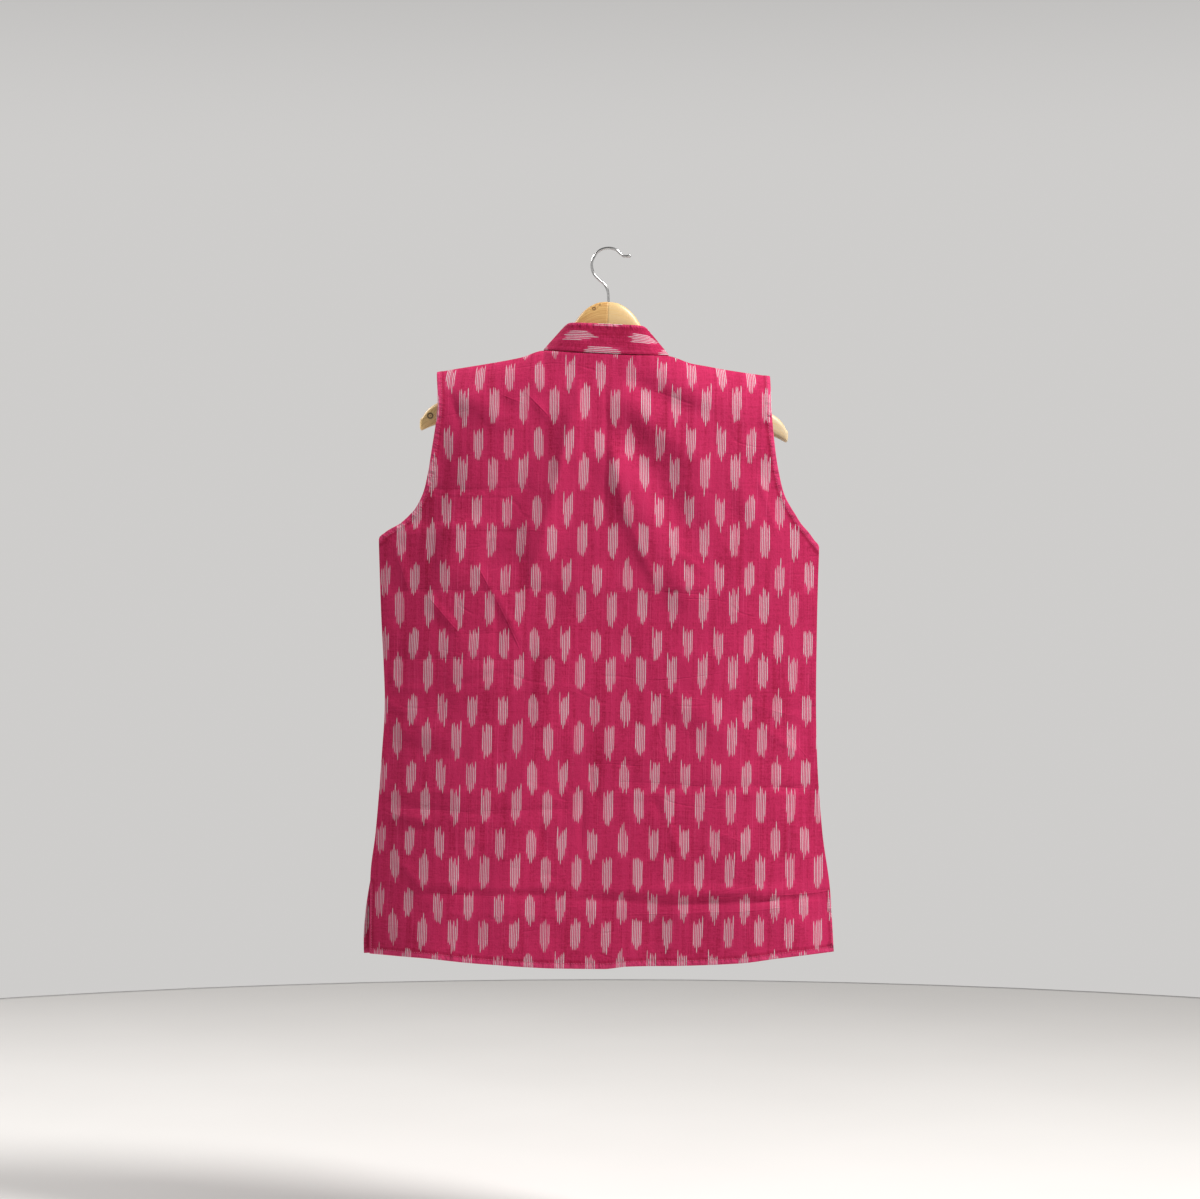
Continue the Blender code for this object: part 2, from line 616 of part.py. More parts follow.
def hanger_half(name, sign):
    """One half of the wooden hanger, lofted through its sections to the joint line."""
    tilt = Matrix.Rotation(-HANGER_TILT, 4, "Y")
    bm = bmesh.new()
    rings = []
    for x, top_z, bottom_z in HANGER_OUTLINE:
        place_x = sign * max(x, 0.5 * SEAM_GAP)
        ring = hanger_ring(place_x, top_z, bottom_z)
        rings.append([bm.verts.new(tilt @ point) for point in ring])
    for one, two in zip(rings[:-1], rings[1:]):
        for k in range(HANGER_SECTION_POINTS):
            n = (k + 1) % HANGER_SECTION_POINTS
            bm.faces.new((one[k], one[n], two[n], two[k]))
    bm.faces.new(rings[0])
    bm.faces.new(rings[-1])
    bmesh.ops.recalc_face_normals(bm, faces=bm.faces)
    mesh = bpy.data.meshes.new(name)
    bm.to_mesh(mesh)
    bm.free()
    obj = bpy.data.objects.new(name, mesh)
    finish_object(obj, "wood")
    return obj


def bore_for_hook(halves):
    """Drill the hole that takes the hook's shank, half in each side."""
    foot = Vector((HOOK_LINE[0][0], 0.0, HOOK_LINE[0][1]))
    head = Vector((HOOK_LINE[1][0], 0.0, HOOK_LINE[1][1]))
    axis = (head - foot).normalized()
    bottom = foot - axis * BORE_CLEARANCE
    top = head + axis * BORE_OVERSHOOT
    bm = bmesh.new()
    bmesh.ops.create_cone(bm, cap_ends=True, segments=BORE_SIDES,
                          depth=(top - bottom).length,
                          radius1=WIRE_RADIUS + 2 * BORE_CLEARANCE,
                          radius2=WIRE_RADIUS + 2 * BORE_CLEARANCE)
    mesh = bpy.data.meshes.new("bore")
    bm.to_mesh(mesh)
    bm.free()
    bore = bpy.data.objects.new("bore", mesh)
    bore.matrix_world = (Matrix.Translation(0.5 * (top + bottom))
                         @ axis.to_track_quat("Z", "Y").to_matrix().to_4x4())
    PART.objects.link(bore)
    for half in halves:
        cut = half.modifiers.new("hook bore", "BOOLEAN")
        cut.operation = "DIFFERENCE"
        cut.object = bore
        bpy.context.view_layer.objects.active = half
        bpy.ops.object.modifier_apply(modifier=cut.name)
    bpy.data.objects.remove(bore, do_unlink=True)


def hook_object():
    """The bent steel wire: a bevelled curve with a small bulb at its free end."""
    curve = bpy.data.curves.new("hanger_hook", "CURVE")
    curve.dimensions = "3D"
    curve.bevel_depth = WIRE_RADIUS
    curve.bevel_resolution = 1
    curve.use_fill_caps = True
    wire = curve.splines.new("POLY")
    wire.points.add(len(HOOK_LINE) - 1)
    for point, (x, z, radius) in zip(wire.points, HOOK_LINE):
        point.co = (x, 0.0, z, 1.0)
        point.radius = radius
    obj = bpy.data.objects.new("hanger_hook", curve)
    finish_object(obj, "steel")
    return obj


# Objects and materials ---------------------------------------------------------------

def make_material(name, kind):
    colour, roughness, metallic = MATERIALS[kind]
    material = bpy.data.materials.new(name)
    material.use_nodes = True
    shader = material.node_tree.nodes["Principled BSDF"]
    shader.inputs["Base Color"].default_value = (*colour, 1.0)
    shader.inputs["Roughness"].default_value = roughness
    shader.inputs["Metallic"].default_value = metallic
    return material


def finish_object(obj, kind):
    obj.data.materials.append(make_material(obj.name, kind))
    PART.objects.link(obj)


for old in list(bpy.data.objects):
    bpy.data.objects.remove(old, do_unlink=True)
PART = bpy.data.collections.new(NAME)
bpy.context.scene.collection.children.link(PART)

panel_object("back", back_grid(), flip=False, free_sides=("first", "last"))
left_grid = front_grid(1)
panel_object("front_left", left_grid, flip=True, free_sides=("first",))
panel_object("front_right", front_grid(-1), flip=False, free_sides=("first",))
collar_object()
for button_number in range(1, BUTTON_COUNT + 1):
    button_object(button_number, left_grid)
bore_for_hook([hanger_half("hanger_half_left", 1), hanger_half("hanger_half_right", -1)])
hook_object()
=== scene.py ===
"""Looks of the nehru jacket on its wooden hanger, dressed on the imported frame.

Metres, +Z up.  The jacket's front faces -Y, the wearer's left is +X, and the origin
is the inner top of the hook's crown.  Each cloth piece is a thin shell on the form
of its solid, so the tables and curves of that form are repeated here.  Only here are
the creases, VENT_SPREAD and BUTTON_FLAT, and SEAM_GAP, the collar's upper corners and
the ends of the hanger's arms differ a little from the solids'.
"""

import json
import math

import bmesh
import bpy
import numpy as np
from mathutils import Matrix, Vector, noise
from mathutils.kdtree import KDTree

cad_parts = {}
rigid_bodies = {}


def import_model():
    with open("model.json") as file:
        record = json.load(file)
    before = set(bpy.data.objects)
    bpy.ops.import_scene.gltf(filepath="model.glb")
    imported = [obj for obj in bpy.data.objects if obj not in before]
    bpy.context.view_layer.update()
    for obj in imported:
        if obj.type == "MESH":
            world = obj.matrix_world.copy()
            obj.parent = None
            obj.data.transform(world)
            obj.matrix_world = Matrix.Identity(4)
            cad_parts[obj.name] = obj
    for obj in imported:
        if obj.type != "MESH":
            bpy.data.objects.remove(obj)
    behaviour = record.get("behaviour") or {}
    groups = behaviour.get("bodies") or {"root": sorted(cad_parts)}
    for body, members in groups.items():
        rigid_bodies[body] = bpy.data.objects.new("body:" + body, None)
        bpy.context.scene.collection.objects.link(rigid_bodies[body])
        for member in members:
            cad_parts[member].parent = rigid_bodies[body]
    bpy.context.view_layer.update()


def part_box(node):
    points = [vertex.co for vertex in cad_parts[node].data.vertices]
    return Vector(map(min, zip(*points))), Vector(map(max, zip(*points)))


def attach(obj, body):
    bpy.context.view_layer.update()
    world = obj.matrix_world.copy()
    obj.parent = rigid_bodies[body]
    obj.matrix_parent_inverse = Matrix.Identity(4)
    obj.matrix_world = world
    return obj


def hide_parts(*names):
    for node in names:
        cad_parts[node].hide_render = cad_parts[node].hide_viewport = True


for old in list(bpy.data.objects):
    bpy.data.objects.remove(old, do_unlink=True)
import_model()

MM = 0.001


def metres(rows):
    """A table that is written in millimetres, in metres."""
    return [tuple(value * MM for value in row) for row in rows]


# Form of the jacket
SEAM_GAP = 0.00004           # closer than the solids, so that no light shows through
NECK_LEAN = 0.0440           # rise of z for each metre along +X
NECK_CENTRE_X = 0.0045
HANGER_TILT = math.radians(1.9)

# (left_x, left_z, right_x, right_z, back_y, front_y, inset_left, inset_right)
SIDE_OUTLINE = metres((
    (289.4, -848.4, -269.5, -846, 2.5, -3, -7.3, 2.5), (288.8, -760.4, -265.3, -772.4, 0, 0, 0, 0),
    (282.2, -700, -255.7, -700, 0, 0, 0, 0), (275, -609.6, -249.6, -609.6, 0, 0, 0, 0),
    (271.4, -543.3, -248.4, -543.3, 0, 0, 0, 0), (276.2, -428.7, -250, -428.7, 0, 0, 0, 0),
    (278.6, -350.3, -252.1, -360, 0, 0, 0, 0), (270.1, -340.7, -246, -350.3, 1.5, -2, 1, 1),
    (253.3, -331, -239, -340.7, 3, -6, 3, 3), (242.4, -321.4, -230.3, -331, 4.5, -10, 6, 6),
    (234, -311.8, -223.3, -320, 6, -14, 8, 8), (224.3, -292.5, -209.8, -296, 8, -20, 10, 10),
    (219.5, -273.2, -203.8, -273.2, 9.5, -25, 12, 12), (214.7, -244.2, -199, -244.2, 10, -30, 12, 12),
    (207.4, -186.3, -194.2, -186.3, 6, -34, 8, 8), (209.8, -147.5, -194, -152.5, 0, -34, 0, 0),
))
VENT_LEVEL = 1               # row of SIDE_OUTLINE at the top of the side vents
ARMPIT_LEVEL = 6
VENT_SPREAD = 0.0032         # the left front stands out past the back by up to this at its vent
HEM_LINE = metres((
    (-270, -846), (-209, -850.4), (-152, -856.5), (-85, -859.2), (-21, -860.1), (8, -863), (60, -862.4),
    (162, -856.5), (229, -850.4), (289.4, -848.4),
))
RIDGE_LINE = metres((
    (-194, -152.5), (-160, -148.1), (-136.5, -144.7), (-118.2, -141.4), (-98.1, -138), (107.2, -130.6),
    (145.7, -137.5), (189, -144), (209.8, -147.5),
))
# (z, back_y, front_y, side_run, front_side_run)
CENTRE_DEPTH = metres((
    (-870, 37, -40, 100, 110), (-700, 33, -38, 120, 120), (-540, 29, -35, 150, 140),
    (-430, 26.5, -34, 170, 150), (-350, 25.5, -34, 160, 150), (-260, 24, -35, 130, 130),
    (-190, 20.5, -35, 110, 120), (-120, 15, -33, 110, 120),
))
NECK_PUSH = 0.017
NECK_PUSH_SPREAD = 0.045
NECK_PUSH_FOOT = -0.300
# (base_x, base_y, base_z, top_x, top_y, top_z, rise, run)
COLLAR_STATIONS = metres((
    (0, 13.5, -126.9, 0, 11.5, -90.8, 0.4, 60), (30, 13.2, -126.8, 25.5, 11.3, -90.8, 0.4, 55),
    (56.5, 9.5, -126.3, 41.5, 7, -91.1, 0.5, 50), (75, -4, -125.8, 48.3, -8.5, -94.5, 0.8, 48),
    (73.5, -15.5, -133, 50.5, -22.5, -102, 2.3, 48), (61.5, -31, -155, 52.5, -42, -122.5, 1.9, 50),
    (40, -45, -181, 38.5, -61, -149.5, 1.1, 60), (20, -51.5, -197, 20, -70, -166.5, 0.8, 60),
    (0.5, -53, -203, 0.8, -72.5, -172.5, 0.8, 60),
))
SHOULDER_RUN = 0.048
BACK_TURN = 1.7
BACK_NECK_TURN = 1.3
FRONT_TURN = 1.35
HPS_STATION = 3              # where the shoulder seam meets the neck
COLLAR_CORNER = 0.016
CENTRE_FRONT = ((-0.870, 0.0110), (-0.400, 0.0125), (-0.203, NECK_CENTRE_X))
OVERLAP = 0.017
OVERLAP_LIFT = 0.0026
OVERLAP_MARGIN = 0.006
OVERLAP_RAMP = 0.018
BUTTON_FLAT = 0.010          # the fronts lie flat this far on each side of the buttons' line
BUTTON_RADIUS = 0.009
BUTTON_COUNT = 5

# Largest folds: (x0, z0, x1, z1, half_width, height), height < 0 for a trough
BACK_FOLDS = metres((
    (-14.5, -155, -111, -201, 13, -3.6), (-15.7, -184, -106, -257.5, 17, 3.4),
    (-15.7, -215.3, -106, -350.3, 19, -3.4), (-2.4, -254, -90.5, -420.3, 21, 5),
    (42.2, -182, 54.3, -266, 18, 3.6), (54.3, -266, 92.9, -384.1, 21, 3.6),
    (84.4, -215.3, 150.8, -384.1, 24, -3.4), (184.5, -169.5, 124.2, -211.7, 15, 3.2),
    (168.9, -241.8, 199, -384.1, 22, 3), (-154.4, -278, -186.9, -350.3, 16, 3),
    (54.3, -464.9, 108.5, -663.9, 26, 3.4), (108.5, -663.9, 132.7, -814.7, 26, 3.4),
    (-84.4, -545.7, -142.3, -585.5, 19, 3), (-199, -663.9, -238.8, -730.2, 19, 2.6),
    (232.8, -573.4, 195.4, -593.9, 18, 2.6), (-30, -773.5, -240, -777, 10, 2.2),
    (-45, -870, -60, -795, 20, -3.6), (-195, -860, -185, -800, 19, -3.4),
    (200, -860, 185, -805, 26, -3.6),
))
FRONT_FOLDS = metres((
    (85, -175, 125, -305, 18, 3.4), (125, -305, 150, -415, 20, 3.4), (135, -200, 185, -330, 18, -3),
    (45, -275, 90, -420, 20, -3.2), (90, -500, 125, -720, 26, 3.4), (200, -430, 180, -560, 22, 2.8),
    (195, -865, 185, -770, 22, -3.4), (70, -870, 80, -770, 22, 3.2), (-75, -180, -110, -300, 18, 3.4),
    (-110, -300, -135, -410, 20, 3.2), (-150, -230, -170, -350, 18, -3), (-45, -300, -75, -440, 20, -3),
    (-85, -520, -105, -730, 26, 3.4), (-180, -460, -170, -590, 22, 2.8),
    (-175, -860, -165, -770, 22, 3.4), (-60, -870, -65, -780, 20, -3),
))
FOLD_EDGE_FADE = 0.028
FOLD_END_FADE = 0.030

# (x, top_z, bottom_z) of half the hanger, before its tilt
HANGER_OUTLINE = metres((
    (0, -63.3, -130), (10, -64.3, -130.5), (20, -68.5, -132.5), (30, -76.5, -135.5),
    (38.5, -87.6, -139.5), (44.7, -98.5, -143), (52.8, -109.5, -148), (62, -121.2, -153),
    (68.5, -127.4, -156.5), (78, -129, -160.5), (87, -133.2, -165), (115, -147.8, -178),
    (150, -166, -193.5), (185, -183.3, -209.5), (203, -190.7, -216.5), (212.4, -197, -220.3),
    (218, -203.6, -223), (220.8, -208.8, -224.3),
))
HANGER_THICK = 0.014
HANGER_FORWARD = 0.026
HANGER_REACH = 0.229
HANGER_CURVE = 1.7
HANGER_SECTION_POWER = 3.2
WIRE_RADIUS = 0.0016
BORE_RADIUS = 0.0022
# Hook wire, from its end 22 mm down in the wood to the start of the ball: (x, z)
HOOK_LINE = metres((
    (1.2, -85.3), (1.8, -60), (2.8, -50), (6.5, -42.5), (12.8, -37), (18.5, -30.8), (21.5, -23.5),
    (21.8, -16), (19, -8.5), (14, -2.5), (7.5, 0.8), (0.5, 1.6), (-6.5, -0.1), (-11.5, -4.2),
    (-15.5, -7.5), (-19.2, -8.5), (-21.5, -8.2),
))
BALL_RADIUS = 0.0023
BALL_REACH = 0.0018          # from the wire's end to the ball's middle

# Cloth of the shells
COLUMN_STEP = 0.00235        # along the shoulders and neck
ROW_STEP = 0.0033
RIDGE_ROWS = 20              # rows that close on the shoulder seam
RIDGE_CROWDING = 1.8
EDGE_LINES = (0.0, 0.0004, 0.0009, 0.0016)    # extra lines beside an edge
CLOTH = 0.0009               # thickness of one layer
LINING_GAP = 0.0003          # the shell's inner side stands off the solid's inner side
LINING_RUN = 0.004           # run over which it comes to stand off
EDGE_ROLL = 0.0012           # run over which an edge rounds down
EDGE_SKIN = 0.00005
BAND_EXTRA = 0.00045         # turned edges are this much thicker
BAND_SLOPE = 0.002           # run over which this thickness ends
ARMHOLE_BAND = 0.007         # widths of the turned edges
VENT_BAND = 0.0045
HEM_BAND = 0.0075
PLACKET_BAND = 0.006
EDGE_SEARCH = 0.03           # points further from an edge than this aren't measured
DENSE_STEP = 0.0008
FAR = 1.0                    # stands for any distance that is too far to matter
BAKE_OUTER = 0.76            # widths on the bake map
BAKE_INNER = 0.21
BAKE_RIM = (0.765, 0.785)

# Stitches: (length, width, height), and along a stitch (place, swell)
STITCH = (0.0024, 0.0005, 0.00024)
STITCH_PROFILE = ((-0.5, 0.15), (-0.36, 0.8), (0.0, 1.0), (0.36, 0.8), (0.5, 0.15))
STITCH_SIDES = 6
STITCH_LIFT = 0.6            # in half heights of the stitch
STITCH_PITCH = 0.0031
STITCH_INSET = 0.0012        # a stitch line lies this far inside its band's inner edge

# Sharper creases: (x0, z0, x1, z1, half_width, height)
BACK_CREASES = metres((
    # lines of the iron's folds, across the back
    (215, -290, 96, -290, 3.5, -1), (193, -338, 60, -338.5, 15, 1.1), (193, -342, 108, -342, 3.2, -1),
    (260, -411, 55, -410.5, 3.4, -1), (60, -410, -240, -413, 20, 1.2), (-54, -413, -109, -415, 3, -1.2),
    (259, -494, 70, -494, 3.4, -1), (178, -463, 133, -462, 3.6, -1), (199, -528, 127, -508, 4.2, -1.4),
    (255, -529, 223, -528.5, 3.5, 1.2), (127, -540, 78, -526, 5, 1), (60, -525, 24, -534, 3.4, 0.8),
    (241, -598, 170, -612, 12, -1.6), (265, -654, 133, -654, 3.4, 0.9), (248, -671, 160, -677, 4.6, -1.6),
    (160, -677, 48, -671.5, 4.6, -1.4), (268, -678, 219, -688, 4.2, 1.4), (241, -699, 207, -698, 3.8, -1),
    (-10, -642, -235, -649, 4.6, -1.2), (-6, -655, -235, -656, 4, 1), (-199, -649, -240, -648, 3.4, -1.6),
    (229, -764, 60, -765, 6, 1.2), (229, -772, 48, -776, 4.2, -1.8), (12, -768, -181, -769, 3.4, 1),
    (45, -781, -100, -783, 5.5, -2.4), (-100, -783, -259, -779, 5.5, -3),
    (-70, -773, -220, -769, 4.5, 1.6), (-163, -784, -199, -781, 3.2, -1.8), (210, -799, 60, -799, 6, 1.1),
    (-36, -799, -205, -791, 5.8, 1.6),
    # creases from folding and wear
    (125.4, -176.7, 108.5, -183.9, 3.6, 1.4), (92.9, -180.3, 74.8, -203.2, 3.6, 1.8),
    (258, -356, 242.4, -408.2, 3.6, 1.8), (214.7, -422.7, 179.7, -461.3, 3.8, 2),
    (156.8, -384.1, 132.7, -422.7, 3.8, 2), (132.7, -422.7, 111, -468, 3.6, 2.2),
    (136, -435, 136, -507, 5, -1.2), (212, -332, 212, -386, 6, -1.4), (265, -507, 254, -524, 3.6, 1.4),
    (274, -543, 253, -555, 5, 1.4), (259, -571, 238, -587, 4.4, 2), (253, -736, 223, -766, 6, 1.6),
    (84, -694, 70, -730, 5.8, -1.4), (181, -702, 151, -715, 4.4, 1.4), (34.4, -658, 33.8, -718, 3, -1.6),
    (22, -634, 12, -664, 3.4, -1.4), (6, -155, 5, -330, 3, -1.2), (40, -155, 38.5, -265, 3.4, 1),
    (45, -200, 62, -278, 7, 2), (62, -278, 96, -398, 8, 1.8), (-2, -240, -15, -314, 8, 2.6),
    (-15, -314, -56, -402, 8.5, 2.6), (-78, -362, -115, -389, 4, 1.2), (-180, -280, -200, -345, 6, 2.4),
    (-169, -215, -193, -217, 3.2, -1.4), (191.8, -174, 179.7, -214, 7, -2),
    (-169, -549, -229, -563, 3.6, 1.4), (-187, -577, -223, -606, 4.4, 2),
    (-148, -561, -163, -589, 5.8, 1.4), (-172, -529, -181, -536, 3.6, 1.2),
    (-171, -610, -181, -616, 4.4, -1.2), (-51, -658, -60, -682, 3.6, -1.4),
    (-64, -664, -80, -724, 3.6, 1.4), (-75, -682, -84, -698, 6, -1.4), (-130, -701, -157, -712, 4, 1.8),
    (-151, -752, -169, -760, 4.4, 1.2), (-217, -778, -223, -797, 5, -1.8),
    (-211, -803, -235, -815, 4.6, 1.4),
))
FRONT_CREASES = metres((
    (250, -344, 70, -346, 3.6, -1.8), (260, -428, 40, -430, 18, 2.1), (250, -515, 60, -513, 3.6, -2.1),
    (260, -665, 50, -668, 4.4, -2.4), (260, -678, 130, -676, 4.2, 1.8), (265, -775, 40, -774, 4, -3.5),
    (250, -768, 90, -767, 4.5, 2.4), (170, -225, 130, -260, 4, 3.2), (95, -235, 70, -275, 3.8, 2.8),
    (215, -395, 175, -435, 4, 3.5), (145, -445, 115, -485, 4.2, 2.8), (245, -550, 215, -575, 4.2, 3.2),
    (150, -575, 115, -630, 6, 2.8), (60, -590, 75, -635, 3.8, -2.4), (230, -700, 190, -715, 4.4, 2.8),
    (110, -715, 85, -735, 4.2, 2.4), (42, -808, 90, -825, 4.6, 2.4), (-60, -330, -230, -332, 3.6, -1.8),
    (-30, -415, -240, -413, 18, 2.1), (-50, -490, -235, -489, 3.6, -2.1),
    (-40, -650, -240, -653, 4.4, -2.4), (-110, -662, -235, -664, 4.2, 1.8),
    (-30, -770, -245, -772, 4, -3.5), (-70, -763, -220, -764, 4.5, 2.4), (-150, -240, -115, -275, 4, 3.2),
    (-85, -250, -65, -290, 3.8, 2.8), (-195, -400, -155, -440, 4, 3.5),
    (-225, -530, -195, -560, 4.2, 3.2), (-130, -590, -95, -650, 6, 2.8),
    (-70, -540, -90, -580, 3.8, -2.4), (-215, -690, -180, -708, 4.4, 2.8),
    (-100, -720, -75, -745, 4.2, 2.4), (-210, -800, -170, -815, 4.6, 2.4),
))
# Crisp pressed lines, in millimetres: (x0, z0, x1, z1, height), height < 0 for a groove
BACK_LINES = (
    (215, -289, 100, -289, -0.16), (188, -338, 60, -340, 0.16), (262, -410, 55, -411, -0.18),
    (-45, -412, -110, -415, -0.24), (180, -463, 130, -461, -0.16), (262, -494, 66, -494, -0.22),
    (-46, -536, -132, -544, 0.18), (-176, -550, -232, -564, 0.2), (264, -591, 190, -591, 0.22),
    (-10, -640, -120, -645, -0.18), (-196, -648, -242, -650, -0.3), (-8, -653, -84, -653, 0.14),
    (256, -672, 170, -677, -0.22), (160, -676, 46, -671, -0.2), (226, -773, 130, -775, -0.26),
    (10, -776, -100, -778, 0.55), (-96, -778, -262, -773, 0.6), (-20, -799, -100, -796, 0.34),
    (-100, -796, -206, -791, 0.4), (129, -176, 106, -185, 0.26), (96, -178, 72, -205, 0.3),
    (258, -366, 243, -408, 0.3), (215, -422, 178, -463, 0.34), (155, -386, 135, -424, 0.34),
    (135, -424, 110, -478, 0.4), (32, -652, 33, -718, -0.22), (268, -680, 222, -688, 0.24),
    (-210, -577, -236, -612, 0.26), (-76, -631, -58, -580, 0.2), (-132, -702, -158, -712, 0.26),
    (253, -740, 222, -772, 0.26),
)
FRONT_LINES = (
    (240, -344, 80, -346, -0.18), (250, -515, 70, -513, -0.22), (260, -672, 60, -674, -0.26),
    (262, -772, 40, -772, 0.34), (215, -396, 176, -436, 0.32), (146, -446, 114, -486, 0.28),
    (246, -551, 214, -576, 0.3), (112, -716, 84, -736, 0.24), (-60, -331, -230, -333, -0.18),
    (-50, -490, -236, -489, -0.22), (-40, -652, -240, -656, -0.26), (-30, -769, -246, -770, 0.34),
    (-194, -401, -154, -441, 0.32), (-224, -531, -194, -561, 0.3), (-132, -592, -94, -650, 0.26),
    (-102, -721, -74, -746, 0.24),
)
LINE_BEND = 1.0              # a line strays by up to this
LINE_WAVES = 0.045           # radians of its bends for each millimetre
LINE_FADE = 8.0
LINE_REACH = 4.2             # a line's map holds only this near to it
LINE_HALF_WIDTH = 1.4
CREASE_EDGE_FADE = 0.012
CREASE_END_FADE = 0.012
CREASE_SHARPNESS = 1.3       # 2 is a round crease, 1 a pressed one
CREASE_WANDER = 0.0012       # a crease strays by up to this
BEND_WAVES = 31.0            # radians of its bends for each metre
BEND_PHASE = 1.7             # step of the phase from crease to crease
UNEVENNESS = 180             # share of its height that varies, for each metre of wander
UNEVEN_WAVES = 57.0
UNEVEN_PHASE = 2.3
# Soft unevenness of the whole cloth: (waves a metre across, waves a metre down, height)
CRINKLES = ((9.0, 6.0, 0.0020), (22.0, 16.0, 0.0012), (6.0, 34.0, 0.0005), (52.0, 38.0, 0.0005))
BACK_CRINKLE = 3.0           # seeds
FRONT_CRINKLE = 9.0

# Ikat cloth, in millimetres on the flat cloth: u across the warps, v down them
THREADS = 18                 # groups of warp threads to a column of dashes
COLUMN = 36.6
THREAD = COLUMN / THREADS
SLIP = 9.0                   # a thread's dashes all slip by up to half of this
DASH_LINES = 3               # groups in a dash on each side of its middle
ROW = 80.0
DASHES = ((0, 0.0, 35.0), (THREADS // 2, 35.0, 40.0))   # (thread shift, drop, length)
# Dash ends by groups from its middle, in millimetres inside the whole dash
NOTCHED_START = (3.0, 5.0, 0.0)
POINTED_START = (-2.5, 2.0, 7.0)
POINTED_END = (-2.5, 2.0, 9.5)
START_SPREAD = 2.5           # a thread's start moves by up to this from dash to dash
END_SPREAD = 3.5
DASH_SPREAD = 3.5            # and the whole dash by up to this
START_BACK = 3.7             # the starts and ends are then set back by these
END_BACK = 4.7
BLEED = (-2.5, 3.0)          # the dye ends softly between these places from a thread's end

# How the cloth lies on the body
WARP_LEAN = 0.0186           # the warps lean this much from the vertical
WARP_X = 0.0109              # x of a dash column's middle at WARP_Z
WARP_Z = -0.150
ROW_LEVELS = ((-0.1515, 0), (-0.2357, 1), (-0.3172, 2), (-0.4767, 4), (-0.6350, 6), (-0.7920, 8),
              (-0.8650, 9))
CLOTH_LEVEL = -0.450
FLATNESS = 0.6               # share of the across map that is plain x, not length on the folds
SHOULDER_SAG = 0.002         # of the rows at the left shoulder, from SAG_X and SAG_Z
SAG_X = 0.05
SAG_Z = -0.30
SAG_RUN_X = 0.06
SAG_RUN_Z = 0.10
CORNER_LIFT = 0.010          # of the rows at the left corner of the hem
LIFT_X = 0.20
LIFT_Z = -0.66
LIFT_RUN_X = 0.08
LIFT_RUN_Z = 0.10
WEAVE = 0.55                 # millimetres from thread to thread

# Collar cloth: the warps run along it
COLLAR_THICK = 0.0020
COLLAR_FULL = 0.0006         # fullness of its outer face
COLLAR_FACE = 12             # steps up each face
COLLAR_ROLL = 5
COLLAR_HALF_STATIONS = 110
COLLAR_CROWDING = 0.85       # share of even spacing that gives way to closer steps in front
COLLAR_WARP = 0.0202         # height of a dash's middle thread
COLLAR_SHIFT = 0.0355
COLLAR_STITCH = 0.0050
COLLAR_SEED = 31.0
# painted shade: the collar's colour is darkened by this, so that it looks no brighter than the body
# though it faces up into the key light
COLLAR_PAINTED_SHADE = 0.12

# Half section of a button from its middle to its back, in radii: (radius, height)
BUTTON_PROFILE = (
    (0.0, 0.10), (0.30, 0.10), (0.52, 0.11), (0.62, 0.16), (0.72, 0.30), (0.80, 0.335), (0.90, 0.32),
    (0.97, 0.24), (1.0, 0.12), (0.98, -0.02), (0.92, -0.14), (0.80, -0.24), (0.60, -0.30),
    (0.30, -0.333), (0.0, -0.333),
)
BUTTON_SIDES = 64
BUTTON_HOLE = 0.0010
BUTTON_HOLE_PLACE = 0.0017
BUTTON_STITCH = (0.0040, 0.0007, 0.0008)
BAR_STRANDS = (-0.00024, 0.0, 0.00024)
BAR_RISE = 0.0011
SHANK_STRANDS = 8
SHANK_RADIUS = 0.0009
SHANK_DROP = 0.0006
BUTTONHOLE = 0.022
BUTTONHOLE_START = 0.003
BUTTONHOLE_PITCH = 0.00045
BUTTONHOLE_EDGE = 0.0009
BUTTONHOLE_BARS = (-0.0012, -0.0006, 0.0, 0.0006, 0.0012)
BUTTONHOLE_STITCH = (0.0019, 0.00055, 0.0005)
BUTTONHOLE_SLIT = (BUTTONHOLE, 0.0006, 0.0003)

DRILL_SIDES = 20
JOINT_EASE = 0.00015         # the hanger's halves are eased by this at their joint
JOINT_RUN = 0.0002
HANGER_FIRST = 0.002         # first section past the joint
HANGER_SIDES = 40
HANGER_STEP = 0.0028
HANGER_TIP_ROUND = 0.0026
HANGER_TIP_SHRINK = 0.0046
ARM_SLOPE = 1.12             # length along an arm for each metre of x
HOOK_SIDES = 20
HOOK_RINGS = 260
WIRE_END = 0.7               # share of WIRE_RADIUS that is left at its end in the wood
BALL_RINGS = 14
BALL_ARC = (0.70, 0.02)      # half turns from the ball's tip, where it starts and ends

# Cut pieces: (solid, seed, shift of its dash rows, (width, length), flat area, what it rests on)
CUTS = (
    ("back", 3.0, 0.0, (0.590, 0.755), 0.375, ["hanger_half_left", "hanger_half_right"]),
    ("front_left", 11.0, 0.013, (0.330, 0.745), 0.195, ["hanger_half_left"]),
    ("front_right", 19.0, -0.022, (0.310, 0.745), 0.185, ["hanger_half_right"]),
)

# Colours, linear
PINK = (0.440, 0.020, 0.088)
PINK_LIGHT = (0.620, 0.062, 0.175)
PINK_DEEP = (0.260, 0.007, 0.038)
TONE_BASE = 0.87             # taken off the yarns' tones before they are coloured
SHEEN_PINK = (1.0, 0.35, 0.55)
UNDYED = (0.495, 0.405, 0.435)
THREAD_PINK = (0.500, 0.040, 0.135)
# painted shade: a dark strip stands for the opening of each buttonhole
SLIT_SHADE_COLOUR = (0.10, 0.004, 0.015)
PLASTIC_DARK = (0.22, 0.010, 0.040)
PLASTIC_LIGHT = (0.36, 0.024, 0.078)
STEEL_DARK = (0.42, 0.42, 0.43)
STEEL_LIGHT = (0.68, 0.68, 0.67)
FLOOR_DARK = (0.70, 0.69, 0.68)
FLOOR_LIGHT = (0.76, 0.75, 0.74)
WOOD_DARK = (0.430, 0.205, 0.055)
WOOD = (0.640, 0.410, 0.155)
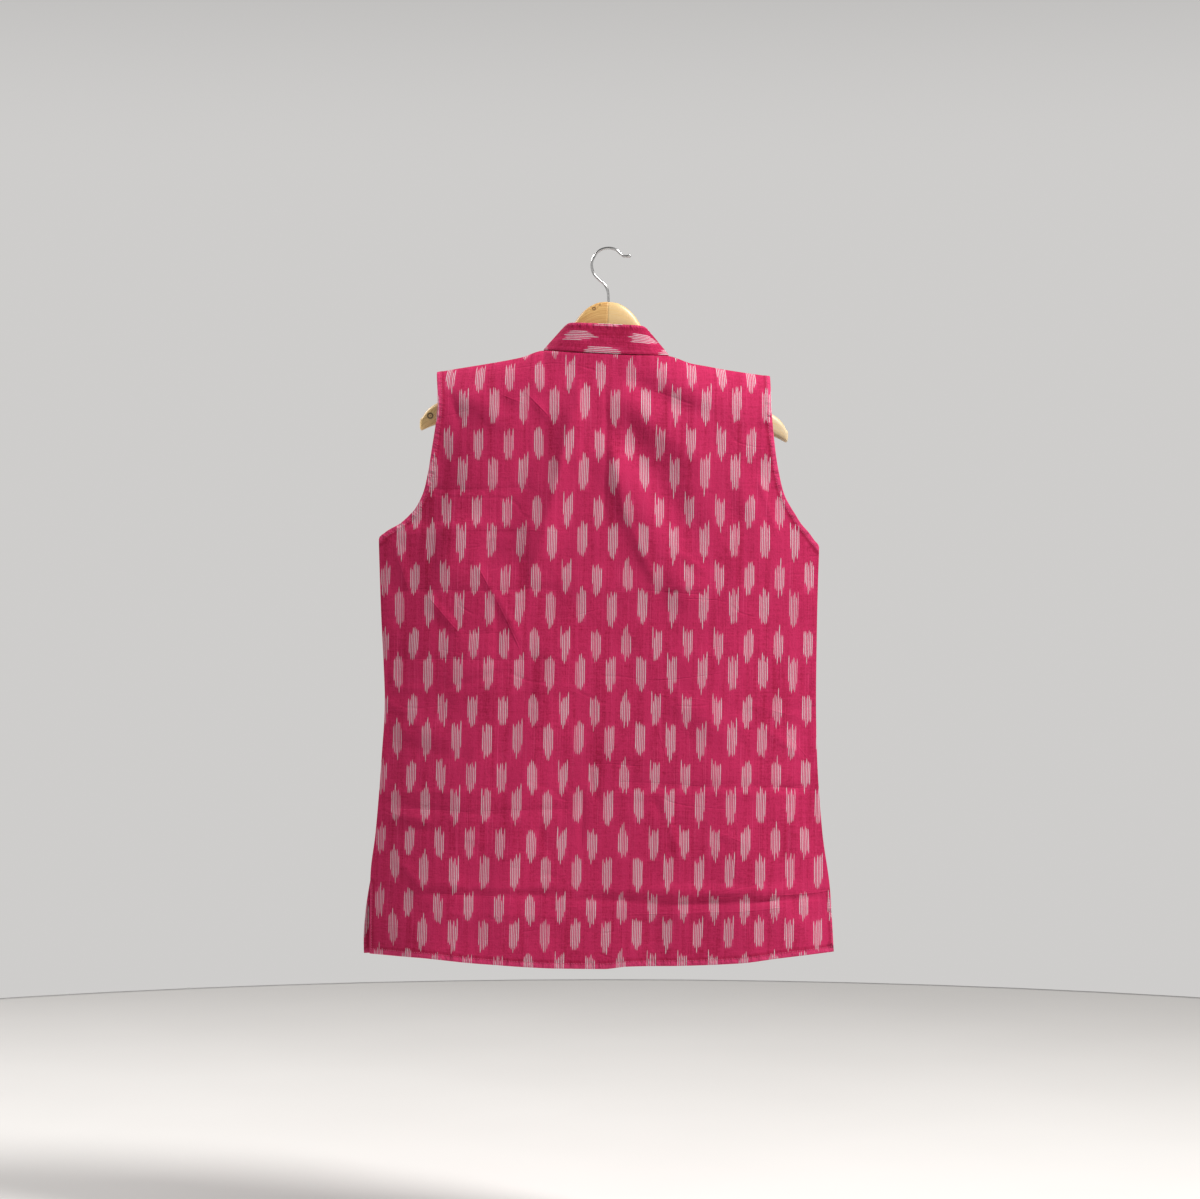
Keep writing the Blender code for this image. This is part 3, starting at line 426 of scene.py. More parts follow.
WOOD_PALE = (0.600, 0.440, 0.235)
# the left tip is paler wood, made paler still as painted light, since it lies in the key light's shadow
TIP_LEFT_LIT = (0.880, 0.620, 0.270)
TIP_RIGHT = (0.560, 0.460, 0.310)
KNOT = (0.050, 0.020, 0.008)
# Knots of the left half in millimetres: (x, z, radius)
KNOTS = ((19.3, -71.8, 1.7), (12.0, -67.0, 1.0), (217.5, -199.5, 3.0))
# Halves of the hanger: (side, sign of x, dark, light, tip, knots)
HALVES = (("left", 1, WOOD_DARK, WOOD, TIP_LEFT_LIT, KNOTS), ("right", -1, WOOD, WOOD_PALE, TIP_RIGHT, ()))

# Studio
FLOOR_RADIUS = 2.6
FLOOR_Z = -1.2
FLOOR_SIDES = 96
FLOOR_PROFILE = ((0.0, 0.0), (0.5, 0.0), (0.96, 0.0), (1.0, -0.004), (1.0, -0.02), (0.0, -0.02))
ROOM = (0.132, 0.128, 0.126)
ROOM_HORIZON = (0.62, 0.61, 0.60)
HORIZON = (0.36, 0.14)       # the room turns paler between these rises of a direction
# (name, place, target, size, power, colour)
LIGHTS = (
    ("key", (-1.72, 1.00, 1.86), (0.0, 0.0, -0.45), 0.7, 143.0, (1.0, 0.98, 0.95)),
    ("fill", (2.4, 2.6, -0.1), (0.0, 0.0, -0.5), 2.4, 1.5, (0.94, 0.96, 1.0)),
    ("front", (2.3, -0.80, 1.5), (0.0, 0.0, -0.45), 1.2, 75.0, (1.0, 0.98, 0.96)),
)
CAMERA_PLACE = (0.012, 3.6, -0.422)
CAMERA_LENS = 89.6
CAMERA_SENSOR = 36.0


# Curves and mixes over arrays

def pchip(xs, ys, x):
    """Smooth curve through the points, which never overshoots them."""
    xs = np.asarray(xs, dtype=float)
    ys = np.asarray(ys, dtype=float)
    step = np.diff(xs)
    slope = np.diff(ys) / step
    tangent = np.zeros(len(xs))
    tangent[0] = slope[0]
    tangent[-1] = slope[-1]
    for i in range(1, len(xs) - 1):
        if slope[i - 1] * slope[i] > 0:
            w0 = 2 * step[i] + step[i - 1]
            w1 = step[i] + 2 * step[i - 1]
            tangent[i] = (w0 + w1) / (w0 / slope[i - 1] + w1 / slope[i])
    x = np.clip(x, xs[0], xs[-1])
    i = np.clip(np.searchsorted(xs, x, side="right") - 1, 0, len(xs) - 2)
    t = (x - xs[i]) / step[i]
    return (ys[i] + (ys[i + 1] - ys[i]) * t * t * (3 - 2 * t)
            + step[i] * t * (1 - t) * ((1 - t) * tangent[i] - t * tangent[i + 1]))


def read_table(table, column, x):
    return pchip([row[0] for row in table], [row[column] for row in table], x)


def smooth(t):
    t = np.clip(t, 0.0, 1.0)
    return t * t * (3 - 2 * t)


def mix(a, b, t):
    return a + (b - a) * t


def side_value(column, row):
    return pchip(range(len(SIDE_OUTLINE)), [level[column] for level in SIDE_OUTLINE], row)


def side_fraction(z_column, row):
    low = SIDE_OUTLINE[0][z_column]
    high = SIDE_OUTLINE[-1][z_column]
    return (side_value(z_column, row) - low) / (high - low)


def station_value(column, place):
    stations = [station[column] for station in COLLAR_STATIONS]
    return pchip(range(len(COLLAR_STATIONS)), stations, place)


def ridge_depth(x):
    return -HANGER_FORWARD * (np.abs(x) / HANGER_REACH) ** HANGER_CURVE


def centre_front_x(z):
    return read_table(CENTRE_FRONT, 1, z)


def neck_point(sign):
    """x and z where the shoulder seam meets the neck."""
    x = sign * COLLAR_STATIONS[HPS_STATION][0]
    return x + NECK_CENTRE_X, COLLAR_STATIONS[HPS_STATION][2] + NECK_LEAN * x


def path_lengths(points):
    """Distance along a path of points, at each of them."""
    steps = np.linalg.norm(np.diff(points, axis=0), axis=-1)
    return np.concatenate([[0.0], np.cumsum(steps)])


# Lines of the panels' grids

def spaced(start, end, step):
    count = max(int(round(abs(end - start) / step)), 1)
    return np.linspace(start, end, count + 1)


def shoulder_places(tip_x, neck_x):
    inward = math.copysign(1.0, neck_x - tip_x)
    edge = tip_x + inward * np.array(EDGE_LINES)
    return np.concatenate([edge[:-1], spaced(edge[-1], neck_x, COLUMN_STEP)])


def shoulder_top(x, turn):
    """Top line of a panel along a shoulder: x, y, z, turn and run of each column."""
    ridge = sorted(RIDGE_LINE + [neck_point(-1), neck_point(1)])
    return np.array([x, ridge_depth(x), read_table(ridge, 1, x),
                     np.full(len(x), turn), np.full(len(x), SHOULDER_RUN)])


def neck_top(place, sign, turn):
    """Top line of a panel along the neck seam."""
    x = sign * station_value(0, place)
    return np.array([x + NECK_CENTRE_X, station_value(1, place),
                     station_value(2, place) + NECK_LEAN * x,
                     np.broadcast_to(turn, x.shape), station_value(7, place)])


def back_top():
    left = shoulder_places(SIDE_OUTLINE[-1][0], neck_point(1)[0])
    right = shoulder_places(SIDE_OUTLINE[-1][2], neck_point(-1)[0])[::-1]
    reach = COLLAR_STATIONS[HPS_STATION][0]
    local = spaced(reach, -reach, COLUMN_STEP)[1:-1]
    dense = np.linspace(0, HPS_STATION, 600)
    place = np.interp(np.abs(local), station_value(0, dense), dense)
    turn = mix(BACK_NECK_TURN, BACK_TURN, place / HPS_STATION)
    return np.hstack([shoulder_top(left, BACK_TURN), neck_top(place, np.sign(local), turn),
                      shoulder_top(right, BACK_TURN)])


def front_top(sign):
    tip_x = SIDE_OUTLINE[-1][0 if sign > 0 else 2]
    shoulder = shoulder_places(tip_x, neck_point(sign)[0])
    last = len(COLLAR_STATIONS) - 1
    dense = np.linspace(HPS_STATION, last, 900)
    line = neck_top(dense, sign, FRONT_TURN)[:3].T
    lengths = path_lengths(line)
    place = np.interp(spaced(0, lengths[-1], COLUMN_STEP)[1:], lengths, dense)
    return np.hstack([shoulder_top(shoulder, FRONT_TURN), neck_top(place, sign, FRONT_TURN)])


def panel_rows():
    """Places up the side outline, even along it, with extra lines at the hem."""
    top = len(SIDE_OUTLINE) - 2
    dense = np.linspace(0, top, 3000)
    lengths = 0.5 * sum(
        path_lengths(np.stack([side_value(x, dense), side_value(z, dense)], axis=1))
        for x, z in ((0, 1), (2, 3)))
    even = spaced(EDGE_LINES[-1], lengths[-1], ROW_STEP)
    rows = np.interp(np.concatenate([EDGE_LINES[:-1], even]), lengths, dense)
    closing = 1 - (1 - np.arange(1, RIDGE_ROWS + 1) / RIDGE_ROWS) ** RIDGE_CROWDING
    return np.concatenate([rows, top + closing])


# Form of the panels

def line_places(x, z, ends):
    """Places along and across the line with ends (x0, z0, x1, z1), and its length."""
    x0, z0, x1, z1 = ends
    length = math.hypot(x1 - x0, z1 - z0)
    along = ((x - x0) * (x1 - x0) + (z - z0) * (z1 - z0)) / length
    across = ((x - x0) * (z1 - z0) - (z - z0) * (x1 - x0)) / length
    return along, across, length


def within_ends(along, length, fade):
    """1 on a line, falling to 0 past its ends."""
    return smooth((along + fade) / (2 * fade)) * smooth((length - along + fade) / (2 * fade))


def fold_height(x, z, folds, fade, sharpness=2.0, wander=0.0):
    """Outward height of all the folds; wander bends them and makes them uneven."""
    total = np.zeros_like(x)
    for number, (*ends, half_width, height) in enumerate(folds):
        along, across, length = line_places(x, z, ends)
        across = across + wander * np.sin(BEND_WAVES * along + BEND_PHASE * number)
        uneven = 1 + UNEVENNESS * wander * np.sin(UNEVEN_WAVES * along + UNEVEN_PHASE * number)
        section = np.exp(-np.abs(across / half_width) ** sharpness)
        total += height * uneven * within_ends(along, length, fade) * section
    return total


def crinkle_height(x, z, seed):
    """Soft irregular waves of a washed cotton."""
    total = np.zeros_like(x)
    for index in np.ndindex(x.shape):
        px = x[index]
        pz = z[index]
        total[index] = sum(
            height * noise.noise(Vector((px * across, pz * down, seed + layer)))
            for layer, (across, down, height) in enumerate(CRINKLES))
    return total


def rounded(t, turn):
    t = np.clip(t, 0.0, 1.0)
    return (1 - (1 - t) ** turn) ** (1 / turn)


def turned_depth(edge_y, face_y, inset, run):
    return mix(edge_y, face_y, np.sin(0.5 * math.pi * np.clip(inset / run, 0.0, 1.0)))


def raised(x, z, inset, folds, creases, seed, share=1.0):
    """Outward height of folds, creases and crinkles, which die out to a side edge."""
    relief = fold_height(x, z, creases, CREASE_END_FADE, CREASE_SHARPNESS, CREASE_WANDER)
    relief = (relief + crinkle_height(x, z, seed)) * share
    return (fold_height(x, z, folds, FOLD_END_FADE) * smooth(inset / FOLD_EDGE_FADE)
            + relief * smooth(inset / CREASE_EDGE_FADE))


def back_form():
    """Inner face of the back as rows and columns of points."""
    rows = panel_rows()[:, None]
    top_x, top_y, top_z, turn, run = back_top()
    left = side_value(0, rows)
    right = side_value(2, rows)
    s = (top_x[0] - top_x) / (top_x[0] - top_x[-1])
    x = mix(left, right, s)
    fraction = mix(side_fraction(1, rows), side_fraction(3, rows), s)
    hem_x = mix(SIDE_OUTLINE[0][0], SIDE_OUTLINE[0][2], s)
    z = mix(read_table(HEM_LINE, 1, hem_x), top_z, fraction)
    inset = np.clip(np.minimum(left - x, x - right), 0.0, None)
    edge_y = side_value(4, rows) + 0.5 * SEAM_GAP
    face_y = turned_depth(edge_y, read_table(CENTRE_DEPTH, 1, z), inset,
                          read_table(CENTRE_DEPTH, 3, z))
    face_y = face_y + raised(x, z, inset, BACK_FOLDS, BACK_CREASES, BACK_CRINKLE)
    y = mix(top_y + 0.5 * SEAM_GAP, face_y, rounded((top_z - z) / run, turn))
    return np.stack([x, y, z], axis=-1)


def front_edge(sign, rows):
    """x of a front's side edge; the left one (sign 1) stands out along its vent."""
    x_column, inset_column = (0, 6) if sign > 0 else (2, 7)
    edge_x = side_value(x_column, rows) - sign * side_value(inset_column, rows)
    if sign < 0:
        return edge_x
    down_vent = np.clip(1 - rows / VENT_LEVEL, 0.0, 1.0)
    return edge_x + VENT_SPREAD * 4 * down_vent * (1 - down_vent)


def with_lap(sign, x, z, top):
    """A front's grid and its top line, carried past the centre front by the overlap."""
    beyond = spaced(0, OVERLAP - EDGE_LINES[-1], COLUMN_STEP)[1:]
    beyond = np.concatenate([beyond, OVERLAP - np.array(EDGE_LINES[-2::-1])])
    near_front = np.array(COLLAR_STATIONS[:HPS_STATION + 1:-1])
    lap_top = np.repeat(top[:, -1:], len(beyond), axis=1)
    lap_top[1] = pchip(near_front[:, 0], near_front[:, 1], beyond)
    lap_z = np.repeat(z[:, -1:], len(beyond), axis=1)
    lap_x = centre_front_x(lap_z) - sign * beyond
    return np.hstack([x, lap_x]), np.hstack([z, lap_z]), np.hstack([top, lap_top])


def front_form(sign):
    """Inner face of a front; the left one (sign 1) laps over the right one."""
    rows = panel_rows()[:, None]
    top = front_top(sign)
    x_column, z_column = (0, 1) if sign > 0 else (2, 3)
    edge_x = front_edge(sign, rows)
    s = (top[0, 0] - top[0]) / (top[0, 0] - top[0, -1])
    hem_x = mix(SIDE_OUTLINE[0][x_column], CENTRE_FRONT[0][1], s)
    z = mix(read_table(HEM_LINE, 1, hem_x), top[2], side_fraction(z_column, rows))
    x, z, top = with_lap(sign, mix(edge_x, centre_front_x(z), s), z, top)
    _, top_y, top_z, turn, run = top

    neck_z = COLLAR_STATIONS[-1][2]
    push = NECK_PUSH * smooth((z - NECK_PUSH_FOOT) / (neck_z - NECK_PUSH_FOOT))
    push = push * np.exp(-((x - NECK_CENTRE_X) / NECK_PUSH_SPREAD) ** 2 / 2)
    inset = np.clip((edge_x - x) * sign, 0.0, None)
    edge_y = side_value(5, rows) - 0.5 * SEAM_GAP
    face_y = turned_depth(edge_y, read_table(CENTRE_DEPTH, 2, z) - push, inset,
                          read_table(CENTRE_DEPTH, 4, z))
    clear = smooth((np.abs(x - centre_front_x(z)) - BUTTON_FLAT) / CREASE_EDGE_FADE)
    face_y = face_y - raised(x, z, inset, FRONT_FOLDS, FRONT_CREASES, FRONT_CRINKLE, clear)
    y = mix(top_y - 0.5 * SEAM_GAP, face_y, rounded((top_z - z) / run, turn))
    if sign > 0:
        from_lap = x - centre_front_x(z) - OVERLAP - OVERLAP_MARGIN
        y = y - OVERLAP_LIFT * (1 - smooth(from_lap / OVERLAP_RAMP))
    return np.stack([x, y, z], axis=-1)


# Shells

def outward_normals(points, outward_y):
    """Unit normals of a grid of points, on the side that outward_y names."""
    down = np.gradient(points, axis=0)
    across = np.gradient(points, axis=1)
    normals = np.cross(across, down)
    normals /= np.linalg.norm(normals, axis=-1, keepdims=True) + 1e-12
    middle = normals[normals.shape[0] // 2, normals.shape[1] // 2]
    return normals * math.copysign(1.0, middle[1] * outward_y)


def grid_lengths(points, axis):
    """Distance from the first line of a grid, along the other lines."""
    steps = np.linalg.norm(np.diff(points, axis=axis), axis=-1)
    lead = [(0, 0), (0, 0)]
    lead[axis] = (1, 0)
    return np.pad(np.cumsum(steps, axis=axis), lead)


def edge_distance(points, edge):
    """Distance of each point of a grid from an edge, and the place along the edge."""
    tree = KDTree(len(edge))
    for i, point in enumerate(edge):
        tree.insert(point, i)
    tree.balance()
    lengths = path_lengths(edge)
    distance = np.full(points.shape[:2], FAR)
    along = np.zeros(points.shape[:2])
    near = (points > edge.min(axis=0) - EDGE_SEARCH) & (points < edge.max(axis=0) + EDGE_SEARCH)
    for index in zip(*np.nonzero(np.all(near, axis=-1))):
        _, nearest, distance[index] = tree.find(points[index])
        along[index] = lengths[nearest]
    return distance, along


def at_places(places, known, rows):
    """Rows of numbers at the places, where known are the places of the given rows."""
    return np.stack([np.interp(places, known, column) for column in rows.T], axis=1)


def dense_line(points):
    """The same line with points close together."""
    lengths = path_lengths(points)
    return at_places(spaced(0, lengths[-1], DENSE_STEP), lengths, points)


def bake_faces(rows, columns):
    """Bake map of a shell's outer points and, beside them, of its inner points."""
    s, t = np.meshgrid(np.linspace(0, 1, columns), np.linspace(0, 1, rows))
    flat = np.stack([s, t], axis=-1).reshape(-1, 2)
    inner = flat * (BAKE_INNER, 1.0) + (1 - BAKE_INNER, 0.0)
    return np.concatenate([flat * (BAKE_OUTER, 1.0), inner])


def bake_rim(count):
    """Bake map of the quads round a shell's rim: a strip between its two faces."""
    ends = np.linspace(0, 1, count + 1)
    low, high = BAKE_RIM
    corners = ((low, ends[:-1]), (high, ends[:-1]), (high, ends[1:]), (low, ends[1:]))
    return np.stack([np.stack([np.full(count, side), end], axis=-1) for side, end in corners],
                    axis=1)


class Panel:
    """A cut piece: its form, the shell on it, and the distances from its turned edges.

    Each band is (side, first_row, last_row, width), on side first, last or hem.
    """

    def __init__(self, solid, points, outward_y, bands):
        self.solid = solid
        self.name = solid + "_cloth"
        self.outward_y = outward_y
        self.inner_form = points
        self.normals = outward_normals(points, outward_y)
        from_first = grid_lengths(points, 1)
        from_hem = grid_lengths(points, 0)
        near = np.minimum(np.minimum(from_first, from_first[:, -1:] - from_first),
                          np.minimum(from_hem, from_hem[-1:] - from_hem))
        self.from_band = np.full(points.shape[:2], FAR)
        self.along_band = np.zeros(points.shape[:2])
        self.bands = []
        for side, first_row, last_row, width in bands:
            column = -1 if side == "last" else 0
            line = points[0] if side == "hem" else points[first_row:last_row, column]
            distance, along = edge_distance(points, dense_line(line))
            self.bands.append((side, first_row, last_row, width, distance))
            closer = distance - width < self.from_band
            self.from_band = np.where(closer, distance - width, self.from_band)
            self.along_band = np.where(closer, along, self.along_band)
        roll = np.sqrt(1 - (1 - np.clip(near / EDGE_ROLL, 0, 1)) ** 2)
        extra = BAND_EXTRA * (1 - smooth(self.from_band / BAND_SLOPE + 0.5))
        lining = mix(EDGE_SKIN, LINING_GAP, smooth(near / LINING_RUN))
        wall = mix(3 * EDGE_SKIN, CLOTH + extra, roll)
        self.inner = points + self.normals * lining[..., None]
        self.outer = self.inner + self.normals * wall[..., None]

    def across_warps(self):
        """Distance of each point from a fixed warp, on the flat cloth."""
        x = self.inner_form[..., 0]
        warp_x = WARP_X + WARP_LEAN * (WARP_Z - self.inner_form[..., 2])
        lengths = grid_lengths(self.inner_form, 1)
        order = slice(None, None, -1) if x[0, 0] > x[0, -1] else slice(None)
        zero = [np.interp(0.0, (row - place)[order], arc[order])
                for row, place, arc in zip(x, warp_x, lengths)]
        across = lengths - np.array(zero)[:, None]
        plain = np.abs(x - x[:, :1]) - np.abs(warp_x[:, :1] - x[:, :1])
        return mix(across, plain, FLATNESS)

    def down_warps(self):
        """Distance of each point down the warps, so that the dashes' rows keep their levels."""
        x = self.inner_form[..., 0]
        z = self.inner_form[..., 2]
        arcs = grid_lengths(self.inner_form * (0.0, 1.0, 1.0), 0)
        level = [np.interp(CLOTH_LEVEL, z[:, k], arcs[:, k]) for k in range(z.shape[1])]
        down = np.array(level) - arcs
        middle = z.shape[1] // 2
        marks = [np.interp(-mark, -z[::-1, middle], down[::-1, middle]) for mark, _ in ROW_LEVELS]
        numbers = [number for _, number in ROW_LEVELS]
        pitch = (marks[-1] - marks[0]) / (numbers[-1] - numbers[0])
        rows = pchip(marks, numbers, down)
        rows = rows + (np.minimum(down - marks[0], 0) + np.maximum(down - marks[-1], 0)) / pitch
        sag = SHOULDER_SAG * smooth((x - SAG_X) / SAG_RUN_X) * smooth((z - SAG_Z) / SAG_RUN_Z)
        lift = CORNER_LIFT * smooth((x - LIFT_X) / LIFT_RUN_X) * smooth((LIFT_Z - z) / LIFT_RUN_Z)
        return rows * ROW * MM + lift - sag

    def press_map(self, lines):
        """Distance across the nearest crisp line and that line's height, both in metres."""
        x = self.inner_form[..., 0] / MM
        z = self.inner_form[..., 2] / MM
        nearest = np.full_like(x, 10 * LINE_REACH)
        height = np.zeros_like(x)
        for number, (*ends, rise) in enumerate(lines):
            along, across, length = line_places(x, z, ends)
            across = across + LINE_BEND * np.sin(LINE_WAVES * along + BEND_PHASE * number)
            share = within_ends(along, length, LINE_FADE)
            closer = (np.abs(across) < np.abs(nearest)) & (share > 0)
            nearest = np.where(closer, across, nearest)
            height = np.where(closer, rise * share, height)
        height = np.where(np.abs(nearest) < LINE_REACH, height, 0.0)
        return np.stack([nearest, height], axis=-1) * MM

    def build(self, row_shift, lines):
        """The shell as a closed mesh with its cloth, press, band and bake maps."""
        rows, columns = self.outer.shape[:2]
        count = rows * columns
        number = np.arange(count).reshape(rows, columns)
        quads = np.stack([number[:-1, :-1], number[:-1, 1:], number[1:, 1:], number[1:, :-1]],
                         axis=-1).reshape(-1, 4)
        loop = np.concatenate([number[0, :-1], number[:-1, -1], number[-1, :0:-1],
                               number[:0:-1, 0]])
        after = np.roll(loop, -1)
        rim = np.stack([loop, loop + count, after + count, after], axis=-1)
        points = np.concatenate([self.outer.reshape(-1, 3), self.inner.reshape(-1, 3)])
        faces = np.concatenate([quads, quads[:, ::-1] + count, rim])
        bake = np.concatenate([bake_faces(rows, columns)[faces[:-len(rim)]], bake_rim(len(rim))])
        a, b, c = points[quads[len(quads) // 2, :3]]
        if np.cross(b - a, c - b)[1] * self.outward_y < 0:
            faces = faces[:, ::-1]
            bake = bake[:, ::-1]
        maps = {"cloth": np.stack([self.across_warps(), self.down_warps() + row_shift], axis=-1),
                "press": self.press_map(lines),
                "band": np.stack([self.along_band, self.from_band], axis=-1)}
        maps = {key: np.tile(grid.reshape(-1, 2), (2, 1))[faces] for key, grid in maps.items()}
        return mesh_object(self.name, points, faces, {**maps, "OFBake": bake})


def grid_at(grid, places):
    """Values of a grid at fractional (row, column) places."""
    row = np.clip(places[:, 0], 0, grid.shape[0] - 1.001)
    column = np.clip(places[:, 1], 0, grid.shape[1] - 1.001)
    i = row.astype(int)
    j = column.astype(int)
    a = (row - i)[:, None]
    b = (column - j)[:, None]
    return ((grid[i, j] * (1 - b) + grid[i, j + 1] * b) * (1 - a)
            + (grid[i + 1, j] * (1 - b) + grid[i + 1, j + 1] * b) * a)


def add_object(name, data):
    """A new object of the scene with the given data."""
    obj = bpy.data.objects.new(name, data)
    bpy.context.scene.collection.objects.link(obj)
    return obj


def mesh_object(name, points, faces, maps=None):
    """A mesh object from arrays, with its UV maps given for each face corner."""
    mesh = bpy.data.meshes.new(name)
    mesh.from_pydata(points.tolist(), [], faces.tolist())
    for map_name, corners in (maps or {}).items():
        layer = mesh.uv_layers.new(name=map_name)
        layer.data.foreach_set("uv", corners.reshape(-1).astype(np.float32))
    mesh.shade_smooth()
    mesh.update()
    return add_object(name, mesh)


# Stitching

def crossing(values, level):
    """Fractional place where values first pass level, or None."""
    passes = np.nonzero((values[:-1] <= level) & (values[1:] > level))[0]
    if len(passes) == 0:
        return None
    i = passes[0]
    return i + (level - values[i]) / (values[i + 1] - values[i])


def band_places(band):
    """Grid places of the stitch line of a band, one for each row or column it crosses."""
    side, first_row, last_row, width, distance = band
    level = width - STITCH_INSET
    if side == "hem":
        found = [(crossing(distance[:, column], level), column)
                 for column in range(2, distance.shape[1] - 2)]
        return np.array([place for place in found if place[0] is not None])
    found = []
    last_column = distance.shape[1] - 1
    for row in range(max(first_row, 2), last_row):
        values = distance[row] if side == "first" else distance[row, ::-1]
        place = crossing(values, level)
        if place is not None:
            found.append((row, place if side == "first" else last_column - place))
    return np.array(found)


def stitch_frames(panel, places):
    """Middle, direction and normal of each stitch along a line of grid places."""
    fine = np.linspace(0, len(places) - 1, 8 * len(places))
    path = at_places(fine, np.arange(len(places)), places)
    points = grid_at(panel.outer, path)
    lengths = path_lengths(points)
    wanted = np.arange(0.5 * STITCH_PITCH, lengths[-1], STITCH_PITCH)
    middle = at_places(wanted, lengths, path)
    direction = at_places(wanted + MM, lengths, points) - at_places(wanted - MM, lengths, points)
    return grid_at(panel.outer, middle), direction, grid_at(panel.normals, middle)


def stitch_mesh(name, frames, size=STITCH):
    """Small rounded stitches lying on the cloth, all in one mesh; size is (length, width, height)."""
    length, width, height = size
    position, direction, normal = (np.concatenate(parts) for parts in zip(*frames))
    direction = direction / np.linalg.norm(direction, axis=1, keepdims=True)
    side = np.cross(normal, direction)
    side = side / np.linalg.norm(side, axis=1, keepdims=True)
    template = []
    for along, swell in STITCH_PROFILE:
        for k in range(STITCH_SIDES):
            angle = 2 * math.pi * k / STITCH_SIDES
            template.append((along * length, 0.5 * width * swell * math.cos(angle),
                             0.5 * height * swell * (math.sin(angle) + STITCH_LIFT)))
    template = np.array(template)
    points = (position[:, None] + direction[:, None] * template[None, :, :1]
              + side[:, None] * template[None, :, 1:2] + normal[:, None] * template[None, :, 2:])
    faces = tube_faces(len(STITCH_PROFILE), STITCH_SIDES)
    every = np.arange(len(position))[:, None, None] * len(template)
    return mesh_object(name, points.reshape(-1, 3), (faces + every).reshape(-1, 4))


def tube_faces(rings, sides):
    """Quads of a closed tube of rings, with its two ends closed by strips of quads."""
    faces = []
    for k in range(rings - 1):
        for j in range(sides):
            n = (j + 1) % sides
            faces.append((k * sides + j, k * sides + n, (k + 1) * sides + n, (k + 1) * sides + j))
    last = (rings - 1) * sides
    for j in range(sides // 2 - 1):
        strip = (j, j + 1, sides - 2 - j, sides - 1 - j)
        faces.append(strip[::-1])
        faces.append(tuple(last + k for k in strip))
    return np.array(faces)


# Materials

def feed(tree, slot, value):
    """Link a Value to an input of a node, or set the input to a plain number."""
    if isinstance(value, Value):
        tree.links.new(value.socket, slot)
    else:
        slot.default_value = value


def parts_of(tree, socket):
    """The three numbers of a vector."""
    node = tree.nodes.new("ShaderNodeSeparateXYZ")
    tree.links.new(socket, node.inputs["Vector"])
    return [Value(tree, part) for part in node.outputs]


def colour_mix(tree, low, high, amount):
    """Mix of two colours, each a triple or another mix."""
    node = tree.nodes.new("ShaderNodeMix")
    node.data_type = "RGBA"
    slots = {slot.identifier: slot for slot in (*node.inputs, *node.outputs)}
    for key, colour in (("A_Color", low), ("B_Color", high)):
        if isinstance(colour, tuple):
            slots[key].default_value = (*colour, 1.0)
        else:
            tree.links.new(colour, slots[key])
    feed(tree, slots["Factor_Float"], amount)
    return slots["Result_Color"]


class Value:
    """A number carried by a node, with ordinary arithmetic."""

    def __init__(self, tree, socket):
        self.tree = tree
        self.socket = socket

    def math(self, operation, *others):
        node = self.tree.nodes.new("ShaderNodeMath")
        node.operation = operation
        for slot, value in zip(node.inputs, (self, *others)):
            feed(self.tree, slot, value)
        return Value(self.tree, node.outputs["Value"])

    def __add__(self, other):
        return self.math("ADD", other)

    def __sub__(self, other):
        return self.math("SUBTRACT", other)

    def __rsub__(self, other):
        return (self * -1.0) + other

    def __mul__(self, other):
        return self.math("MULTIPLY", other)

    def floor(self):
        return self.math("FLOOR")

    def size(self):
        return self.math("ABSOLUTE")

    def wrap(self, period):
        return self.math("FLOORED_MODULO", period)

    def ramp(self, start, end):
        """Smooth step from 0 at start to 1 at end."""
        node = self.tree.nodes.new("ShaderNodeMapRange")
        node.interpolation_type = "SMOOTHSTEP"
        for key, value in (("From Min", min(start, end)), ("From Max", max(start, end)), ("Value", self)):
            feed(self.tree, node.inputs[key], value)
        value = Value(self.tree, node.outputs["Result"])
        return value if start < end else 1.0 - value


